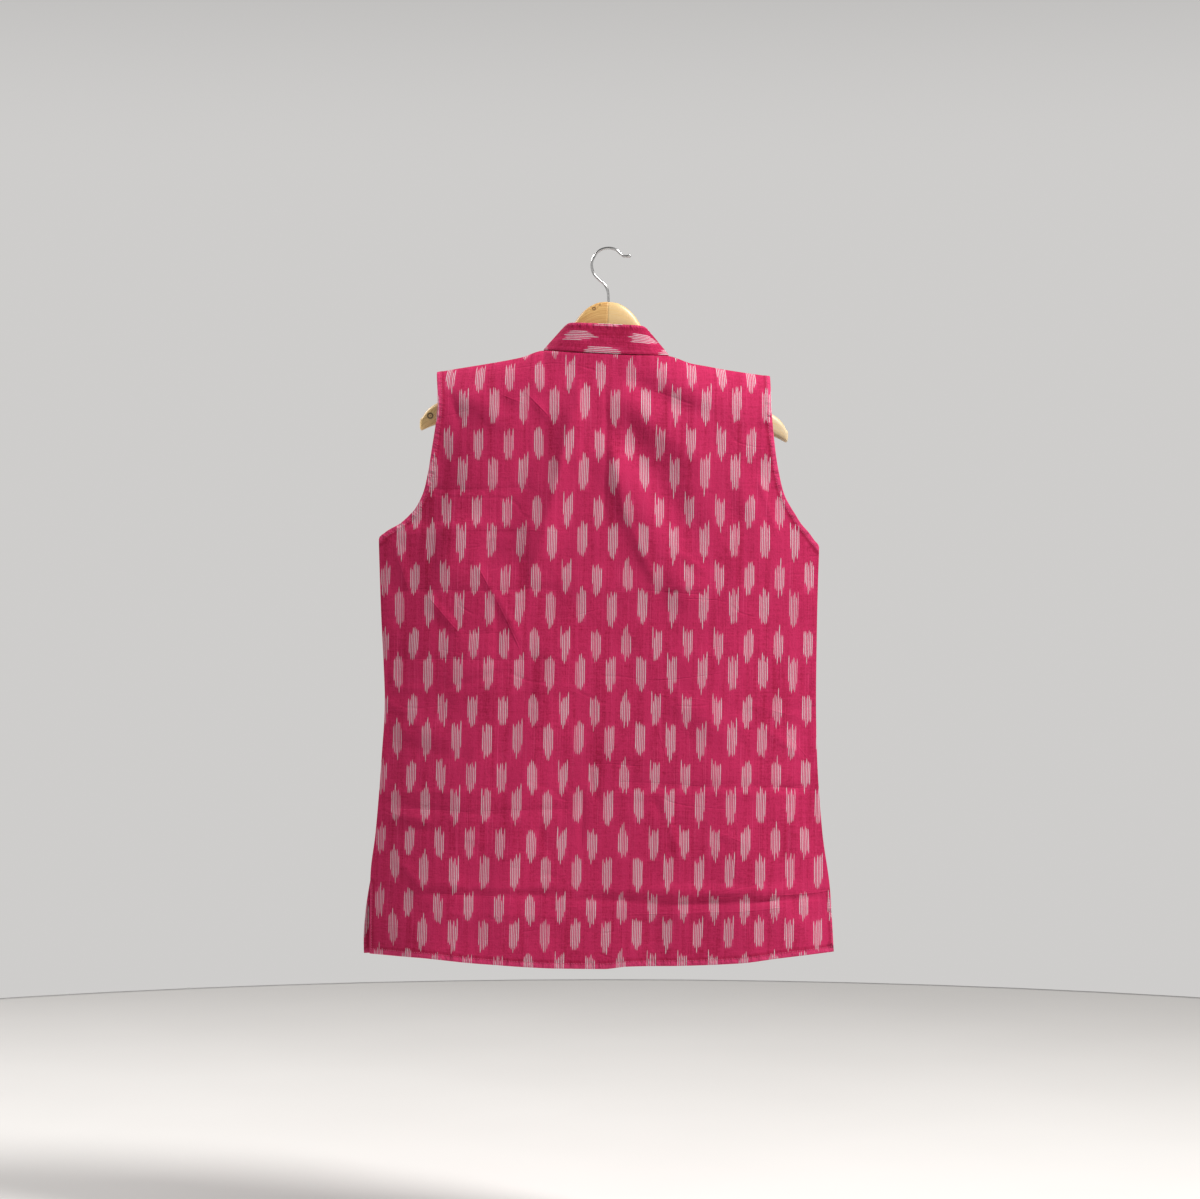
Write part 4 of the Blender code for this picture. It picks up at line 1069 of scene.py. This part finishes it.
class Finish:
    """A Principled material under construction."""

    def __init__(self, name, roughness, **settings):
        self.material = bpy.data.materials.new(name)
        self.material.use_nodes = True
        self.tree = self.material.node_tree
        self.shader = self.tree.nodes["Principled BSDF"]
        self.shader.inputs["Roughness"].default_value = roughness
        for key, value in settings.items():
            self.shader.inputs[key.replace("_", " ")].default_value = value

    def uv(self, name):
        """The two numbers of a UV map in metres, as millimetres."""
        node = self.tree.nodes.new("ShaderNodeUVMap")
        node.uv_map = name
        return [part * (1 / MM) for part in parts_of(self.tree, node.outputs["UV"])[:2]]

    def place(self):
        """The point's own place on the object, in millimetres."""
        node = self.tree.nodes.new("ShaderNodeTexCoord")
        return [part * (1 / MM) for part in parts_of(self.tree, node.outputs["Object"])]

    def vector(self, *values):
        node = self.tree.nodes.new("ShaderNodeCombineXYZ")
        for slot, value in zip(node.inputs, values):
            feed(self.tree, slot, value)
        return node.outputs["Vector"]

    def hash(self, *values):
        """A fixed random number from 0 to 1 for whole numbers."""
        node = self.tree.nodes.new("ShaderNodeTexWhiteNoise")
        self.tree.links.new(self.vector(*values), node.inputs["Vector"])
        return Value(self.tree, node.outputs["Value"])

    def noise(self, *values, detail=2.0, roughness=0.5):
        """Soft noise about 0.5."""
        node = self.tree.nodes.new("ShaderNodeTexNoise")
        for key, value in (("Scale", 1.0), ("Detail", detail), ("Roughness", roughness)):
            node.inputs[key].default_value = value
        self.tree.links.new(self.vector(*values), node.inputs["Vector"])
        return Value(self.tree, node.outputs["Fac"])

    def blend(self, low, high, amount):
        return colour_mix(self.tree, low, high, amount)

    def colour(self, socket):
        self.tree.links.new(socket, self.shader.inputs["Base Color"])

    def roughen(self, value):
        self.tree.links.new(value.socket, self.shader.inputs["Roughness"])

    def relief(self, height):
        """Bump from a height in millimetres."""
        node = self.tree.nodes.new("ShaderNodeBump")
        node.inputs["Strength"].default_value = 1.0
        node.inputs["Distance"].default_value = MM
        self.tree.links.new(height.socket, node.inputs["Height"])
        self.tree.links.new(node.outputs["Normal"], self.shader.inputs["Normal"])


def by_steps(steps, values):
    """A value for each whole number of steps."""
    total = values[0]
    for k in range(1, len(values)):
        total = steps.ramp(k - 0.6, k - 0.4) * (values[k] - values[k - 1]) + total
    return total


def dash_ends(finish, steps, column, thread, row, drop, length):
    """Start and end of the undyed stretch of each thread, from the middle of its dash."""
    own = (finish.hash(thread, 1.0, drop) - 0.5) * SLIP
    start = own + finish.hash(thread, row, drop + 5) * START_SPREAD
    end = own + finish.hash(thread, row, drop + 9) * END_SPREAD
    whole = finish.hash(column, row, drop + 2) * DASH_SPREAD
    form = finish.hash(column, 2.0, drop)
    notched = form.ramp(0.15, 0.55)
    start = start + by_steps(steps, NOTCHED_START) * notched
    start = start + by_steps(steps, POINTED_START) * (1.0 - notched)
    end = end - by_steps(steps, POINTED_END) * form.ramp(-0.25, 0.35)
    return start + whole - (0.5 * length + START_BACK), end + whole + (0.5 * length - END_BACK)


def dash_marks(finish, across, down, shift, drop, length):
    """How undyed each point is, for one family of dashes, and a glow round each dash."""
    threads = across * (1 / THREAD)
    thread = threads.floor()
    shifted = thread - (shift - THREADS / 2)
    column = (shifted * (1 / THREADS)).floor()
    steps = (shifted.wrap(THREADS) - (THREADS - 1) / 2).size() - 0.5
    row = ((down - drop) * (1 / ROW) + 0.5).floor()
    local = (down - (drop - ROW / 2)).wrap(ROW) - ROW / 2
    start, end = dash_ends(finish, steps, column, thread, row, drop, length)
    inside = (local - start).ramp(*BLEED) * (end - local).ramp(*BLEED)
    inside = inside * steps.ramp(DASH_LINES - 0.4, DASH_LINES - 0.6)
    in_thread = (threads.wrap(1.0) - 0.5).size()
    covered = (in_thread - inside * 0.18).ramp(0.10, -0.03)
    strength = finish.hash(thread, row, drop + 13) * 0.5 + finish.hash(thread, 3.0, drop) * 0.6 + 0.46
    halo = (local.size() - 0.5 * length).ramp(3.0, -9.0) * steps.ramp(3.3, 1.9)
    return inside.ramp(0.0, 0.35) * covered * strength, halo


def yarn_tones(finish, warp, across, down, seed):
    """Streaks down the warps, bars across them, grit, thick warps, and the tone they make."""
    streak = finish.noise(warp * 0.62, down * 0.008, seed + 2, detail=4.0, roughness=0.75)
    slub = finish.noise(warp * 1.1, down * 0.010, seed + 3).ramp(0.60, 0.74)
    bar = finish.noise(down * 0.28, across * 0.006, seed + 6, detail=3.0, roughness=0.65)
    patch = finish.noise(across * 0.012, down * 0.010, seed + 7)
    grit = finish.noise(across * 0.50, down * 0.30, seed + 10, detail=2.0, roughness=0.7)
    thick_weft = finish.noise(across * 0.10, down * 0.55, seed + 13, detail=1.0)
    grit = grit * 0.6 + thick_weft * 0.4
    stripe = finish.noise(warp * 0.11, down * 0.0035, seed + 14, detail=3.0)
    tone = streak * 0.60 + bar * 0.26 + patch * 0.35 + grit * 0.85 + stripe * 0.65
    return streak, bar, grit, slub, tone


def cloth_height(finish, across, down, beside_band, seed):
    """Height of weave, crumples and the puckers beside a stitched band, in millimetres."""
    along, beside = beside_band
    weave_across = (across * (1 / WEAVE)).wrap(1.0) - 0.5
    weave_down = (down * (1 / WEAVE)).wrap(1.0) - 0.5
    weave = (weave_across.size() + weave_down.size()) * -0.07
    crumple = finish.noise(across * 0.16, down * 0.13, seed + 8, detail=4.0, roughness=0.6) * 0.55
    wrinkle = finish.noise(across * 0.0045 + down * 0.004, down * 0.014, seed + 11, detail=1.0)
    wrinkle = (wrinkle - 0.5).size().ramp(0.014, 0.0)
    patchy = finish.noise(across * 0.012, down * 0.02, seed + 12).ramp(0.50, 0.60)
    pucker = finish.noise(along * 0.16, beside * 0.06, seed + 9, detail=2.0) - 0.5
    pucker = pucker * (beside + 3.0).size().ramp(7.0, 0.0) * 4.5
    return weave + crumple - wrinkle * patchy * 0.30 + pucker


def ikat_cotton(name, seed, pressed=True, painted_shade=0.0):
    """Handloom cotton: pink warps with undyed ikat dashes, pink wefts, bands stitched flat, with a
    painted highlight on the turned bands, painted shade along their stitch lines, and an overall painted
    shade set by the last argument.
    """
    finish = Finish(name, 0.82, Sheen_Weight=0.04, Sheen_Roughness=0.45,
                    Sheen_Tint=(*SHEEN_PINK, 1.0), Specular_IOR_Level=0.10)
    across, down = finish.uv("cloth")
    along, beside = finish.uv("band")
    wander = (finish.noise(across * 0.02, down * 0.025, seed) - 0.5) * 1.6
    wander = wander + (finish.noise(across * 0.3, down * 0.05, seed + 1) - 0.5) * 0.5
    warp = across + wander
    marks, halos = zip(*(dash_marks(finish, warp, down, *family) for family in DASHES))
    fibre = finish.noise(warp * 2.2, down * 0.35, seed + 4) * 0.5 + 0.75
    mark = (marks[0] + marks[1]) * fibre
    halo = (halos[0] + halos[1]) * 0.35

    streak, bar, grit, slub, tone = yarn_tones(finish, warp, across, down, seed)
    # the last argument darkens the tone as painted shade
    tone = tone - TONE_BASE - painted_shade
    edge = beside.ramp(-1.2, -3.4) * 0.42
    groove = (beside - 0.6).size().ramp(3.2, 0.2)
    ground = finish.blend(PINK_DEEP, PINK, tone.ramp(0.10, 0.62))
    # edge lightens the outer part of each turned band: a painted highlight on its bulge
    ground = finish.blend(ground, PINK_LIGHT, slub * 0.55 + halo + edge)
    # groove darkens the cloth beside each band's stitch line as painted shade; in the bump it is a real
    # groove
    ground = finish.blend(ground, PINK_DEEP, groove * 0.55)
    finish.colour(finish.blend(ground, UNDYED, mark.math("MINIMUM", 1.0)))

    height = cloth_height(finish, across, down, (along, beside), seed)
    height = height + streak * 0.14 + bar * 0.10 + grit * 0.20 - groove * 0.10 + mark * 0.06
    if pressed:
        from_line, line_height = finish.uv("press")
        broken = finish.noise(across * 0.05, down * 0.05, seed + 15).ramp(0.30, 0.52)
        height = from_line.size().ramp(LINE_HALF_WIDTH, 0.0) * line_height * broken + height
    finish.relief(height)
    finish.roughen(0.90 - mark * 0.10 - tone * 0.10)
    return finish.material


def thread_finish(name, colour):
    """Plied sewing thread."""
    finish = Finish(name, 0.6, Sheen_Weight=0.3)
    x, y, z = finish.place()
    ply = finish.noise(x * 2.0, y * 2.0, z * 2.0)
    finish.colour(finish.blend(tuple(0.8 * c for c in colour), colour, ply.ramp(0.3, 0.7)))
    finish.relief(ply * 0.05)
    return finish.material


def knot_marks(x, z, knots):
    """How near each point is to a knot, and the dark ring and eye of the knots."""
    near = 0.0
    eye = 0.0
    for knot_x, knot_z, radius in knots:
        away = ((x - knot_x) * (x - knot_x) + (z - knot_z) * (z - knot_z)).math("SQRT")
        near = away.ramp(4.0 * radius, 0.0) + near
        eye = (away - radius).size().ramp(0.45 * radius, 0.15 * radius) + eye
        eye = away.ramp(0.45 * radius, 0.1 * radius) * 0.8 + eye
    return near, eye


def wood_finish(name, dark, light, tip, knots):
    """Clear-varnished wood with its grain along the arm, paler to the tip (on the left half partly
    painted light), with small knots.
    """
    finish = Finish(name, 0.46, Coat_Weight=0.25, Coat_Roughness=0.3)
    along, up = finish.uv("grain")
    x, y, z = finish.place()
    bend = (finish.noise(along * 0.012, up * 0.05, 1.0) - 0.5) * 9.0
    near, eye = knot_marks(x, z, knots)
    if knots:
        bend = bend + near * 5.0
    line = finish.noise((up + bend) * 0.75, along * 0.010, y * 0.3, detail=3.0, roughness=0.6)
    fine = finish.noise((up + bend) * 4.0, along * 0.05, y * 2.0, detail=2.0)
    pore = finish.noise(up * 6.0, along * 0.25, y * 6.0).ramp(0.66, 0.76)
    grain = line * 0.75 + fine * 0.35 - 0.05
    colour = finish.blend(dark, light, grain.ramp(0.30, 0.68))
    # paler wood towards the tips; on the left half this is partly painted light
    pale_and_lit_tip = x.size().ramp(150.0, 205.0) * grain.ramp(0.25, 0.60)
    colour = finish.blend(colour, tip, pale_and_lit_tip * 0.9)
    colour = finish.blend(colour, tuple(0.45 * c for c in dark), pore * 0.35)
    if knots:
        colour = finish.blend(colour, KNOT, eye * 0.9)
    finish.colour(colour)
    finish.relief(line * 0.10 + fine * 0.04 - pore * 0.05)
    finish.roughen(0.54 - grain * 0.14)
    return finish.material


def steel_finish(name):
    """Drawn wire with fine scratches along it."""
    finish = Finish(name, 0.24, Metallic=1.0)
    x, y, z = finish.place()
    scratch = finish.noise(x * 0.4, y * 9.0, z * 0.4, detail=3.0)
    finish.colour(finish.blend(STEEL_DARK, STEEL_LIGHT, scratch.ramp(0.3, 0.7)))
    finish.roughen(scratch * 0.16 + 0.16)
    finish.relief(scratch * 0.01)
    return finish.material


def button_finish(name):
    """Satin plastic, a little cloudy."""
    finish = Finish(name, 0.34, Coat_Weight=0.3, Coat_Roughness=0.2)
    x, y, z = finish.place()
    cloud = finish.noise(x * 0.22, y * 0.22, z * 0.5, detail=3.0)
    finish.colour(finish.blend(PLASTIC_DARK, PLASTIC_LIGHT, cloud.ramp(0.3, 0.7)))
    finish.roughen(cloud * 0.2 + 0.24)
    finish.relief(cloud * 0.06)
    return finish.material


def stage_finish(name):
    """Plain pale floor."""
    finish = Finish(name, 0.9)
    x, y, _ = finish.place()
    cloud = finish.noise(x * 0.002, y * 0.002, 0.0)
    finish.colour(finish.blend(FLOOR_DARK, FLOOR_LIGHT, cloud))
    return finish.material


# Pieces

def hand_over(piece, material, slot, *nodes):
    """Give a piece its material and body, and hide the solids that it stands for; slot is not used."""
    piece.data.materials.append(material)
    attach(piece, "root")
    if nodes:
        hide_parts(*nodes)


def cloth_piece(panel, seed, row_shift, flat, area, rests_on):
    """A panel's shell and its lines of stitching."""
    slot = panel.solid + "_cotton"
    cloth = panel.build(row_shift, BACK_LINES if panel.outward_y > 0 else FRONT_LINES)
    hand_over(cloth, ikat_cotton(panel.name + "_ikat", seed), slot, panel.solid)
    frames = [stitch_frames(panel, band_places(band)) for band in panel.bands]
    hand_over(stitch_mesh(panel.name + "_stitches", frames), THREAD_MATERIAL, slot)


def collar_ring(base, top, outward):
    """Section of the collar at one station: outer face, fold over the top, inner face, foot."""
    up = top - base
    height = up.length
    up = up / height
    half = 0.5 * COLLAR_THICK
    faces = np.linspace(0, 1, COLLAR_FACE + 1)
    rolls = np.linspace(0, math.pi, COLLAR_ROLL + 1)[1:-1]
    ring = [(half + t * (height - 2 * half), COLLAR_FULL * math.sin(math.pi * t)) for t in faces]
    ring += [(height - half + half * math.sin(a), -half + half * math.cos(a)) for a in rolls]
    ring += [(half + t * (height - 2 * half), -COLLAR_THICK) for t in faces[::-1]]
    ring += [(half - half * math.sin(a), -half - half * math.cos(a)) for a in rolls]
    return [(base + up * rise + outward * out, rise) for rise, out in ring]


def collar_lines():
    """Base and top of the collar's outer face at each of its stations, from left to right."""
    last = len(COLLAR_STATIONS) - 1
    from_last = last * np.linspace(1, 0, COLLAR_HALF_STATIONS)
    half = last - from_last * (1 - COLLAR_CROWDING + COLLAR_CROWDING * from_last / last)
    half[0] = 0.0
    places = [(place, 1) for place in half[::-1]] + [(place, -1) for place in half[1:]]
    lines = []
    for place, sign in places:
        station = [float(station_value(k, place)) for k in range(8)]
        base, top = (Vector((sign * x + NECK_CENTRE_X, y, z + NECK_LEAN * sign * x))
                     for x, y, z in (station[:3], station[3:6]))
        up = (top - base).normalized()
        from_end = (Vector(COLLAR_STATIONS[-1][:3]) - Vector(station[:3])).length
        q = min(from_end / COLLAR_CORNER, 1.0)
        drop = COLLAR_CORNER * (1 - math.sqrt(1 - (1 - q) ** 2))
        lines.append((base + up * station[6], top - up * drop))
    return lines


def collar_piece():
    """Stand collar: a stiffened band of the cloth cut across, with rounded front corners."""
    lines = collar_lines()
    count = len(lines)
    points = []
    rises = []
    for i, (base, top) in enumerate(lines):
        ahead = lines[min(i + 1, count - 1)][0] - lines[max(i - 1, 0)][0]
        outward = (top - base).cross(ahead).normalized()
        for point, rise in collar_ring(base, top, outward):
            points.append(point)
            rises.append(rise)
    rises = np.array(rises)
    sides = len(points) // count
    middle = path_lengths(np.array([base.lerp(top, 0.5) for base, top in lines]))
    along = np.repeat(middle - middle[count // 2], sides)
    along_top = np.repeat(path_lengths(np.array([top for _, top in lines])), sides)
    heights = np.repeat([(top - base).length for base, top in lines], sides)
    cloth = np.stack([rises - COLLAR_WARP, along + COLLAR_SHIFT], axis=-1)
    band = np.stack([along_top, heights - rises - COLLAR_STITCH], axis=-1)
    faces = tube_faces(count, sides)
    collar = mesh_object("collar_cloth", np.array(points), faces,
                         {"cloth": cloth[faces], "band": band[faces]})
    material = ikat_cotton("collar_ikat", COLLAR_SEED, pressed=False, painted_shade=COLLAR_PAINTED_SHADE)
    hand_over(collar, material, "collar_cotton", "collar")


def lathe(name, profile, scale, sides):
    """A turned shape about Z from (radius, height) pairs, closed on its axis."""
    bm = bmesh.new()
    rings = []
    for radius, height in profile:
        angles = np.linspace(0, 2 * math.pi, sides if radius > 0 else 1, endpoint=False)
        rings.append([bm.verts.new((radius * scale * math.cos(a), radius * scale * math.sin(a),
                                    height * scale)) for a in angles])
    for one, two in zip(rings[:-1], rings[1:]):
        for k in range(sides):
            corners = [one[k % len(one)], one[(k + 1) % len(one)],
                       two[(k + 1) % len(two)], two[k % len(two)]]
            bm.faces.new(list(dict.fromkeys(corners)))
    bmesh.ops.recalc_face_normals(bm, faces=bm.faces)
    mesh = bpy.data.meshes.new(name)
    bm.to_mesh(mesh)
    bm.free()
    mesh.shade_smooth()
    return add_object(name, mesh)


def cut_hole(obj, start, end, radius):
    """Drill a round hole through an object along the line from start to end."""
    bm = bmesh.new()
    bmesh.ops.create_cone(bm, cap_ends=True, segments=DRILL_SIDES, radius1=radius, radius2=radius,
                          depth=(end - start).length)
    mesh = bpy.data.meshes.new("drill")
    bm.to_mesh(mesh)
    bm.free()
    drill = add_object("drill", mesh)
    drill.matrix_world = (Matrix.Translation(0.5 * (start + end))
                          @ (end - start).to_track_quat("Z", "Y").to_matrix().to_4x4())
    cut = obj.modifiers.new("hole", "BOOLEAN")
    cut.operation = "DIFFERENCE"
    cut.object = drill
    bpy.context.view_layer.objects.active = obj
    bpy.ops.object.modifier_apply(modifier=cut.name)
    bpy.data.objects.remove(drill, do_unlink=True)


def button_seats(panel):
    """Middle and outward direction of each button, and the point of the front under it."""
    seats = []
    surface = panel.outer.reshape(-1, 3)
    normals = panel.normals.reshape(-1, 3)
    for number in range(1, BUTTON_COUNT + 1):
        low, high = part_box(f"button_{number}")
        middle = 0.5 * (Vector(low) + Vector(high))
        away = np.linalg.norm(surface - np.array(middle), axis=1)
        outward = Vector(normals[away < BUTTON_RADIUS].mean(axis=0)).normalized()
        seats.append((middle, outward, Vector(surface[np.argmin(away)])))
    return seats


def button_pieces(panel):
    """Five sew-on buttons with their thread."""
    material = button_finish("button_plastic")
    first = lathe("button_body", BUTTON_PROFILE, BUTTON_RADIUS, BUTTON_SIDES)
    for x, y in ((1, 1), (1, -1), (-1, -1), (-1, 1)):
        above, below = (Vector((x, y, z)) * BUTTON_HOLE_PLACE for z in (6, -6))
        cut_hole(first, above, below, BUTTON_HOLE)
    body = first.data
    bpy.data.objects.remove(first, do_unlink=True)
    for number, (middle, outward, under) in enumerate(button_seats(panel), 1):
        turn = outward.to_track_quat("Z", "Y").to_matrix().to_4x4()
        turn = turn @ Matrix.Rotation(0.2 * math.sin(5.0 * number), 4, "Z")
        button = add_object(f"button_body_{number}", body.copy())
        button.matrix_world = Matrix.Translation(middle) @ turn
        hand_over(button, material, "buttons", f"button_{number}")
        threads = button_thread(number, middle, turn, (middle - under).length)
        hand_over(threads, THREAD_MATERIAL, "buttons")


def button_thread(number, middle, turn, drop):
    """Two worn bars of thread over the holes, and the wound shank under the button."""
    frames = []
    axes = np.array(turn.to_3x3())
    for side in (-1, 1):
        for strand in BAR_STRANDS:
            offset = (0.0, side * BUTTON_HOLE_PLACE + strand, BAR_RISE)
            frames.append(([middle + Vector(axes @ offset)], [axes[:, 0]], [axes[:, 2]]))
    for angle in np.linspace(0, 2 * math.pi, SHANK_STRANDS, endpoint=False):
        c = math.cos(angle)
        s = math.sin(angle)
        offset = (SHANK_RADIUS * c, SHANK_RADIUS * s, -0.5 * drop - SHANK_DROP)
        frames.append(([middle + Vector(axes @ offset)], [axes[:, 2]], [axes @ (c, s, 0.0)]))
    return stitch_mesh(f"button_thread_{number}", frames, BUTTON_STITCH)


def buttonholes(panel):
    """Worked buttonholes across the left front, each from its button towards the side."""
    frames = []
    slits = []
    surface = panel.outer.reshape(-1, 3)
    for _, outward, under in button_seats(panel):
        seat = []
        for x in under.x - BUTTONHOLE_START + np.arange(0, BUTTONHOLE, BUTTONHOLE_PITCH):
            away = np.hypot(surface[:, 0] - x, surface[:, 2] - under.z)
            nearest = np.argsort(away)[:6]
            weight = 1 / (away[nearest] + 1e-5)
            seat.append((x, (surface[nearest, 1] * weight).sum() / weight.sum(), under.z))
        seat = np.array(seat)
        normal = np.tile(np.array(outward), (len(seat), 1))
        upright = np.tile((0.0, 0.0, 1.0), (len(seat), 1))
        level = np.tile((1.0, 0.0, 0.0), (2, 1))
        for side in (-1, 1):
            frames.append((seat + upright * side * BUTTONHOLE_EDGE, upright, normal))
        for rise in BUTTONHOLE_BARS:
            frames.append((seat[[0, -1]] + (0.0, 0.0, rise), level, normal[:2]))
        # a dark strip in each buttonhole: painted shade in its slit
        slits.append((seat[[len(seat) // 2]], level[:1], normal[:1]))
    hole = stitch_mesh("buttonholes", frames, BUTTONHOLE_STITCH)
    slit = stitch_mesh("buttonhole_slits", slits, BUTTONHOLE_SLIT)
    hand_over(hole, THREAD_MATERIAL, "front_left_cotton")
    hand_over(slit, thread_finish("slit_shade", SLIT_SHADE_COLOUR), "front_left_cotton")


def hanger_ring(x, low, high, shrink):
    """Rounded section of the wood at x, before the tilt."""
    ring = []
    for k in range(HANGER_SIDES):
        angle = 2 * math.pi * (k + 0.5) / HANGER_SIDES
        c = math.cos(angle)
        s = math.sin(angle)
        power = 2 / HANGER_SECTION_POWER
        y = math.copysign(abs(c) ** power, c) * (0.5 * HANGER_THICK - shrink)
        z = math.copysign(abs(s) ** power, s) * (0.5 * (high - low) - shrink)
        ring.append(Vector((x, ridge_depth(x) + y, 0.5 * (low + high) + z)))
    return ring


def hanger_piece(side, sign, material):
    """One half of the contoured hanger, with a rounded tip and the bore for its hook."""
    tilt = Matrix.Rotation(-HANGER_TILT, 4, "Y")
    tip = HANGER_OUTLINE[-1][0]
    joint = 0.5 * SEAM_GAP
    sections = [(joint, JOINT_EASE), (joint + JOINT_RUN, 0.0)]
    sections += [(x, 0.0) for x in spaced(HANGER_FIRST, tip, HANGER_STEP)]
    sections += [(tip + HANGER_TIP_ROUND * math.sin(a), HANGER_TIP_SHRINK * (1 - math.cos(a)))
                 for a in np.linspace(0.25, 0.5 * math.pi, 7)]
    points = []
    grain = []
    for x, shrink in sections:
        high, low = (float(read_table(HANGER_OUTLINE, column, x)) for column in (1, 2))
        for point in hanger_ring(sign * x, low, high, shrink):
            points.append(tuple(tilt @ point))
            grain.append((sign * x * ARM_SLOPE, point.z - 0.5 * (low + high)))
    faces = tube_faces(len(sections), HANGER_SIDES)
    if sign > 0:
        faces = faces[:, ::-1]
    grain = np.array(grain)
    half = mesh_object("hanger_wood_" + side, np.array(points), faces, {"grain": grain[faces]})
    foot, head = (Vector((x, 0.0, z)) for x, z in HOOK_LINE[:2])
    along = (head - foot).normalized()
    cut_hole(half, foot - along * 0.0003, head + along * 0.004, BORE_RADIUS)
    hand_over(half, material, "hanger_wood_" + side, "hanger_half_" + side)


def hook_piece():
    """The bent wire, drawn as one tube that swells to a small ball at its free end."""
    marks = np.array(HOOK_LINE)
    lengths = path_lengths(marks)
    fine = np.linspace(0, lengths[-1], HOOK_RINGS)
    path = np.stack([natural_curve(lengths, column, fine) for column in marks.T], axis=1)
    last = path[-1] - path[-2]
    last = last / np.linalg.norm(last)
    angles = math.pi * np.linspace(*BALL_ARC, BALL_RINGS)
    centre = path[-1] + last * BALL_REACH
    ball = centre + last * BALL_RADIUS * np.cos(angles)[:, None]
    wire = np.full(HOOK_RINGS, WIRE_RADIUS)
    wire[0] = WIRE_RADIUS * WIRE_END
    path = np.concatenate([path, ball])
    radii = np.concatenate([wire, BALL_RADIUS * np.sin(angles)])[:, None]
    ahead = np.concatenate([path[1:], path[-1:]]) - np.concatenate([path[:1], path[:-1]])
    ahead = ahead / np.linalg.norm(ahead, axis=1, keepdims=True)
    turn = 2 * math.pi * np.arange(HOOK_SIDES) / HOOK_SIDES
    side = radii * np.cos(turn)
    points = np.stack([path[:, :1] - ahead[:, 1:] * side, radii * np.sin(turn),
                       path[:, 1:] + ahead[:, :1] * side], axis=-1)
    hook = mesh_object("hook_wire", points.reshape(-1, 3), tube_faces(len(path), HOOK_SIDES))
    hand_over(hook, steel_finish("drawn_steel"), "hook_steel", "hanger_hook")


def natural_curve(xs, ys, x):
    """Smooth curve through the points with an even bend between them."""
    count = len(xs)
    step = np.diff(xs)
    system = np.eye(count)
    right = np.zeros(count)
    for i in range(1, count - 1):
        system[i, i - 1:i + 2] = (step[i - 1], 2 * (step[i - 1] + step[i]), step[i])
        right[i] = 6 * ((ys[i + 1] - ys[i]) / step[i] - (ys[i] - ys[i - 1]) / step[i - 1])
    bend = np.linalg.solve(system, right)
    i = np.clip(np.searchsorted(xs, x, side="right") - 1, 0, count - 2)
    before = x - xs[i]
    after = xs[i + 1] - x
    h = step[i]
    return ((bend[i] * after ** 3 + bend[i + 1] * before ** 3) / (6 * h)
            + (ys[i] / h - bend[i] * h / 6) * after + (ys[i + 1] / h - bend[i + 1] * h / 6) * before)


# The part

THREAD_MATERIAL = thread_finish("sewing_thread", THREAD_PINK)

levels = panel_rows()
vent_row, armpit_row = np.searchsorted(levels, (VENT_LEVEL, ARMPIT_LEVEL))
SIDES = {side: ((side, armpit_row, len(levels), ARMHOLE_BAND), (side, 0, vent_row, VENT_BAND))
         for side in ("first", "last")}
HEM = ("hem", 0, 1, HEM_BAND)
PLACKET = ("last", 0, len(levels), PLACKET_BAND)
PANELS = {panel.solid: panel for panel in (
    Panel("back", back_form(), 1.0, (*SIDES["first"], *SIDES["last"], HEM)),
    Panel("front_left", front_form(1), -1.0, (*SIDES["first"], HEM, PLACKET)),
    Panel("front_right", front_form(-1), -1.0, (*SIDES["first"], HEM, PLACKET)))}

for solid, *cut in CUTS:
    cloth_piece(PANELS[solid], *cut)
collar_piece()
button_pieces(PANELS["front_left"])
buttonholes(PANELS["front_left"])
for side, sign, *looks in HALVES:
    hanger_piece(side, sign, wood_finish("honey_wood_" + side, *looks))
hook_piece()


# Floor, light and camera

def area_light(name, place, target, size, power, colour):
    light = bpy.data.lights.new(name, "AREA")
    light.shape = "DISK"
    light.size = size
    light.energy = power
    light.color = colour
    lamp = add_object(name, light)
    lamp.location = place
    lamp.rotation_euler = (Vector(target) - Vector(place)).to_track_quat("-Z", "Y").to_euler()


def pale_room():
    """A plain room about the part, paler towards the horizon."""
    world = bpy.data.worlds.new("pale_room")
    world.use_nodes = True
    tree = world.node_tree
    direction = tree.nodes.new("ShaderNodeTexCoord")
    level = parts_of(tree, direction.outputs["Generated"])[2].size().ramp(*HORIZON)
    colour = colour_mix(tree, ROOM, ROOM_HORIZON, level)
    tree.links.new(colour, tree.nodes["Background"].inputs["Color"])
    bpy.context.scene.world = world


floor = lathe("floor", FLOOR_PROFILE, FLOOR_RADIUS, FLOOR_SIDES)
floor.location = (0.0, 0.0, FLOOR_Z)
floor.data.materials.append(stage_finish("pale_floor"))

pale_room()
bpy.context.scene.view_settings.view_transform = "Standard"
for light in LIGHTS:
    area_light(*light)

camera = add_object("camera", bpy.data.cameras.new("camera"))
camera.data.lens = CAMERA_LENS
camera.data.sensor_width = CAMERA_SENSOR
camera.location = CAMERA_PLACE
camera.rotation_euler = (0.5 * math.pi, 0.0, math.pi)
bpy.context.scene.camera = camera
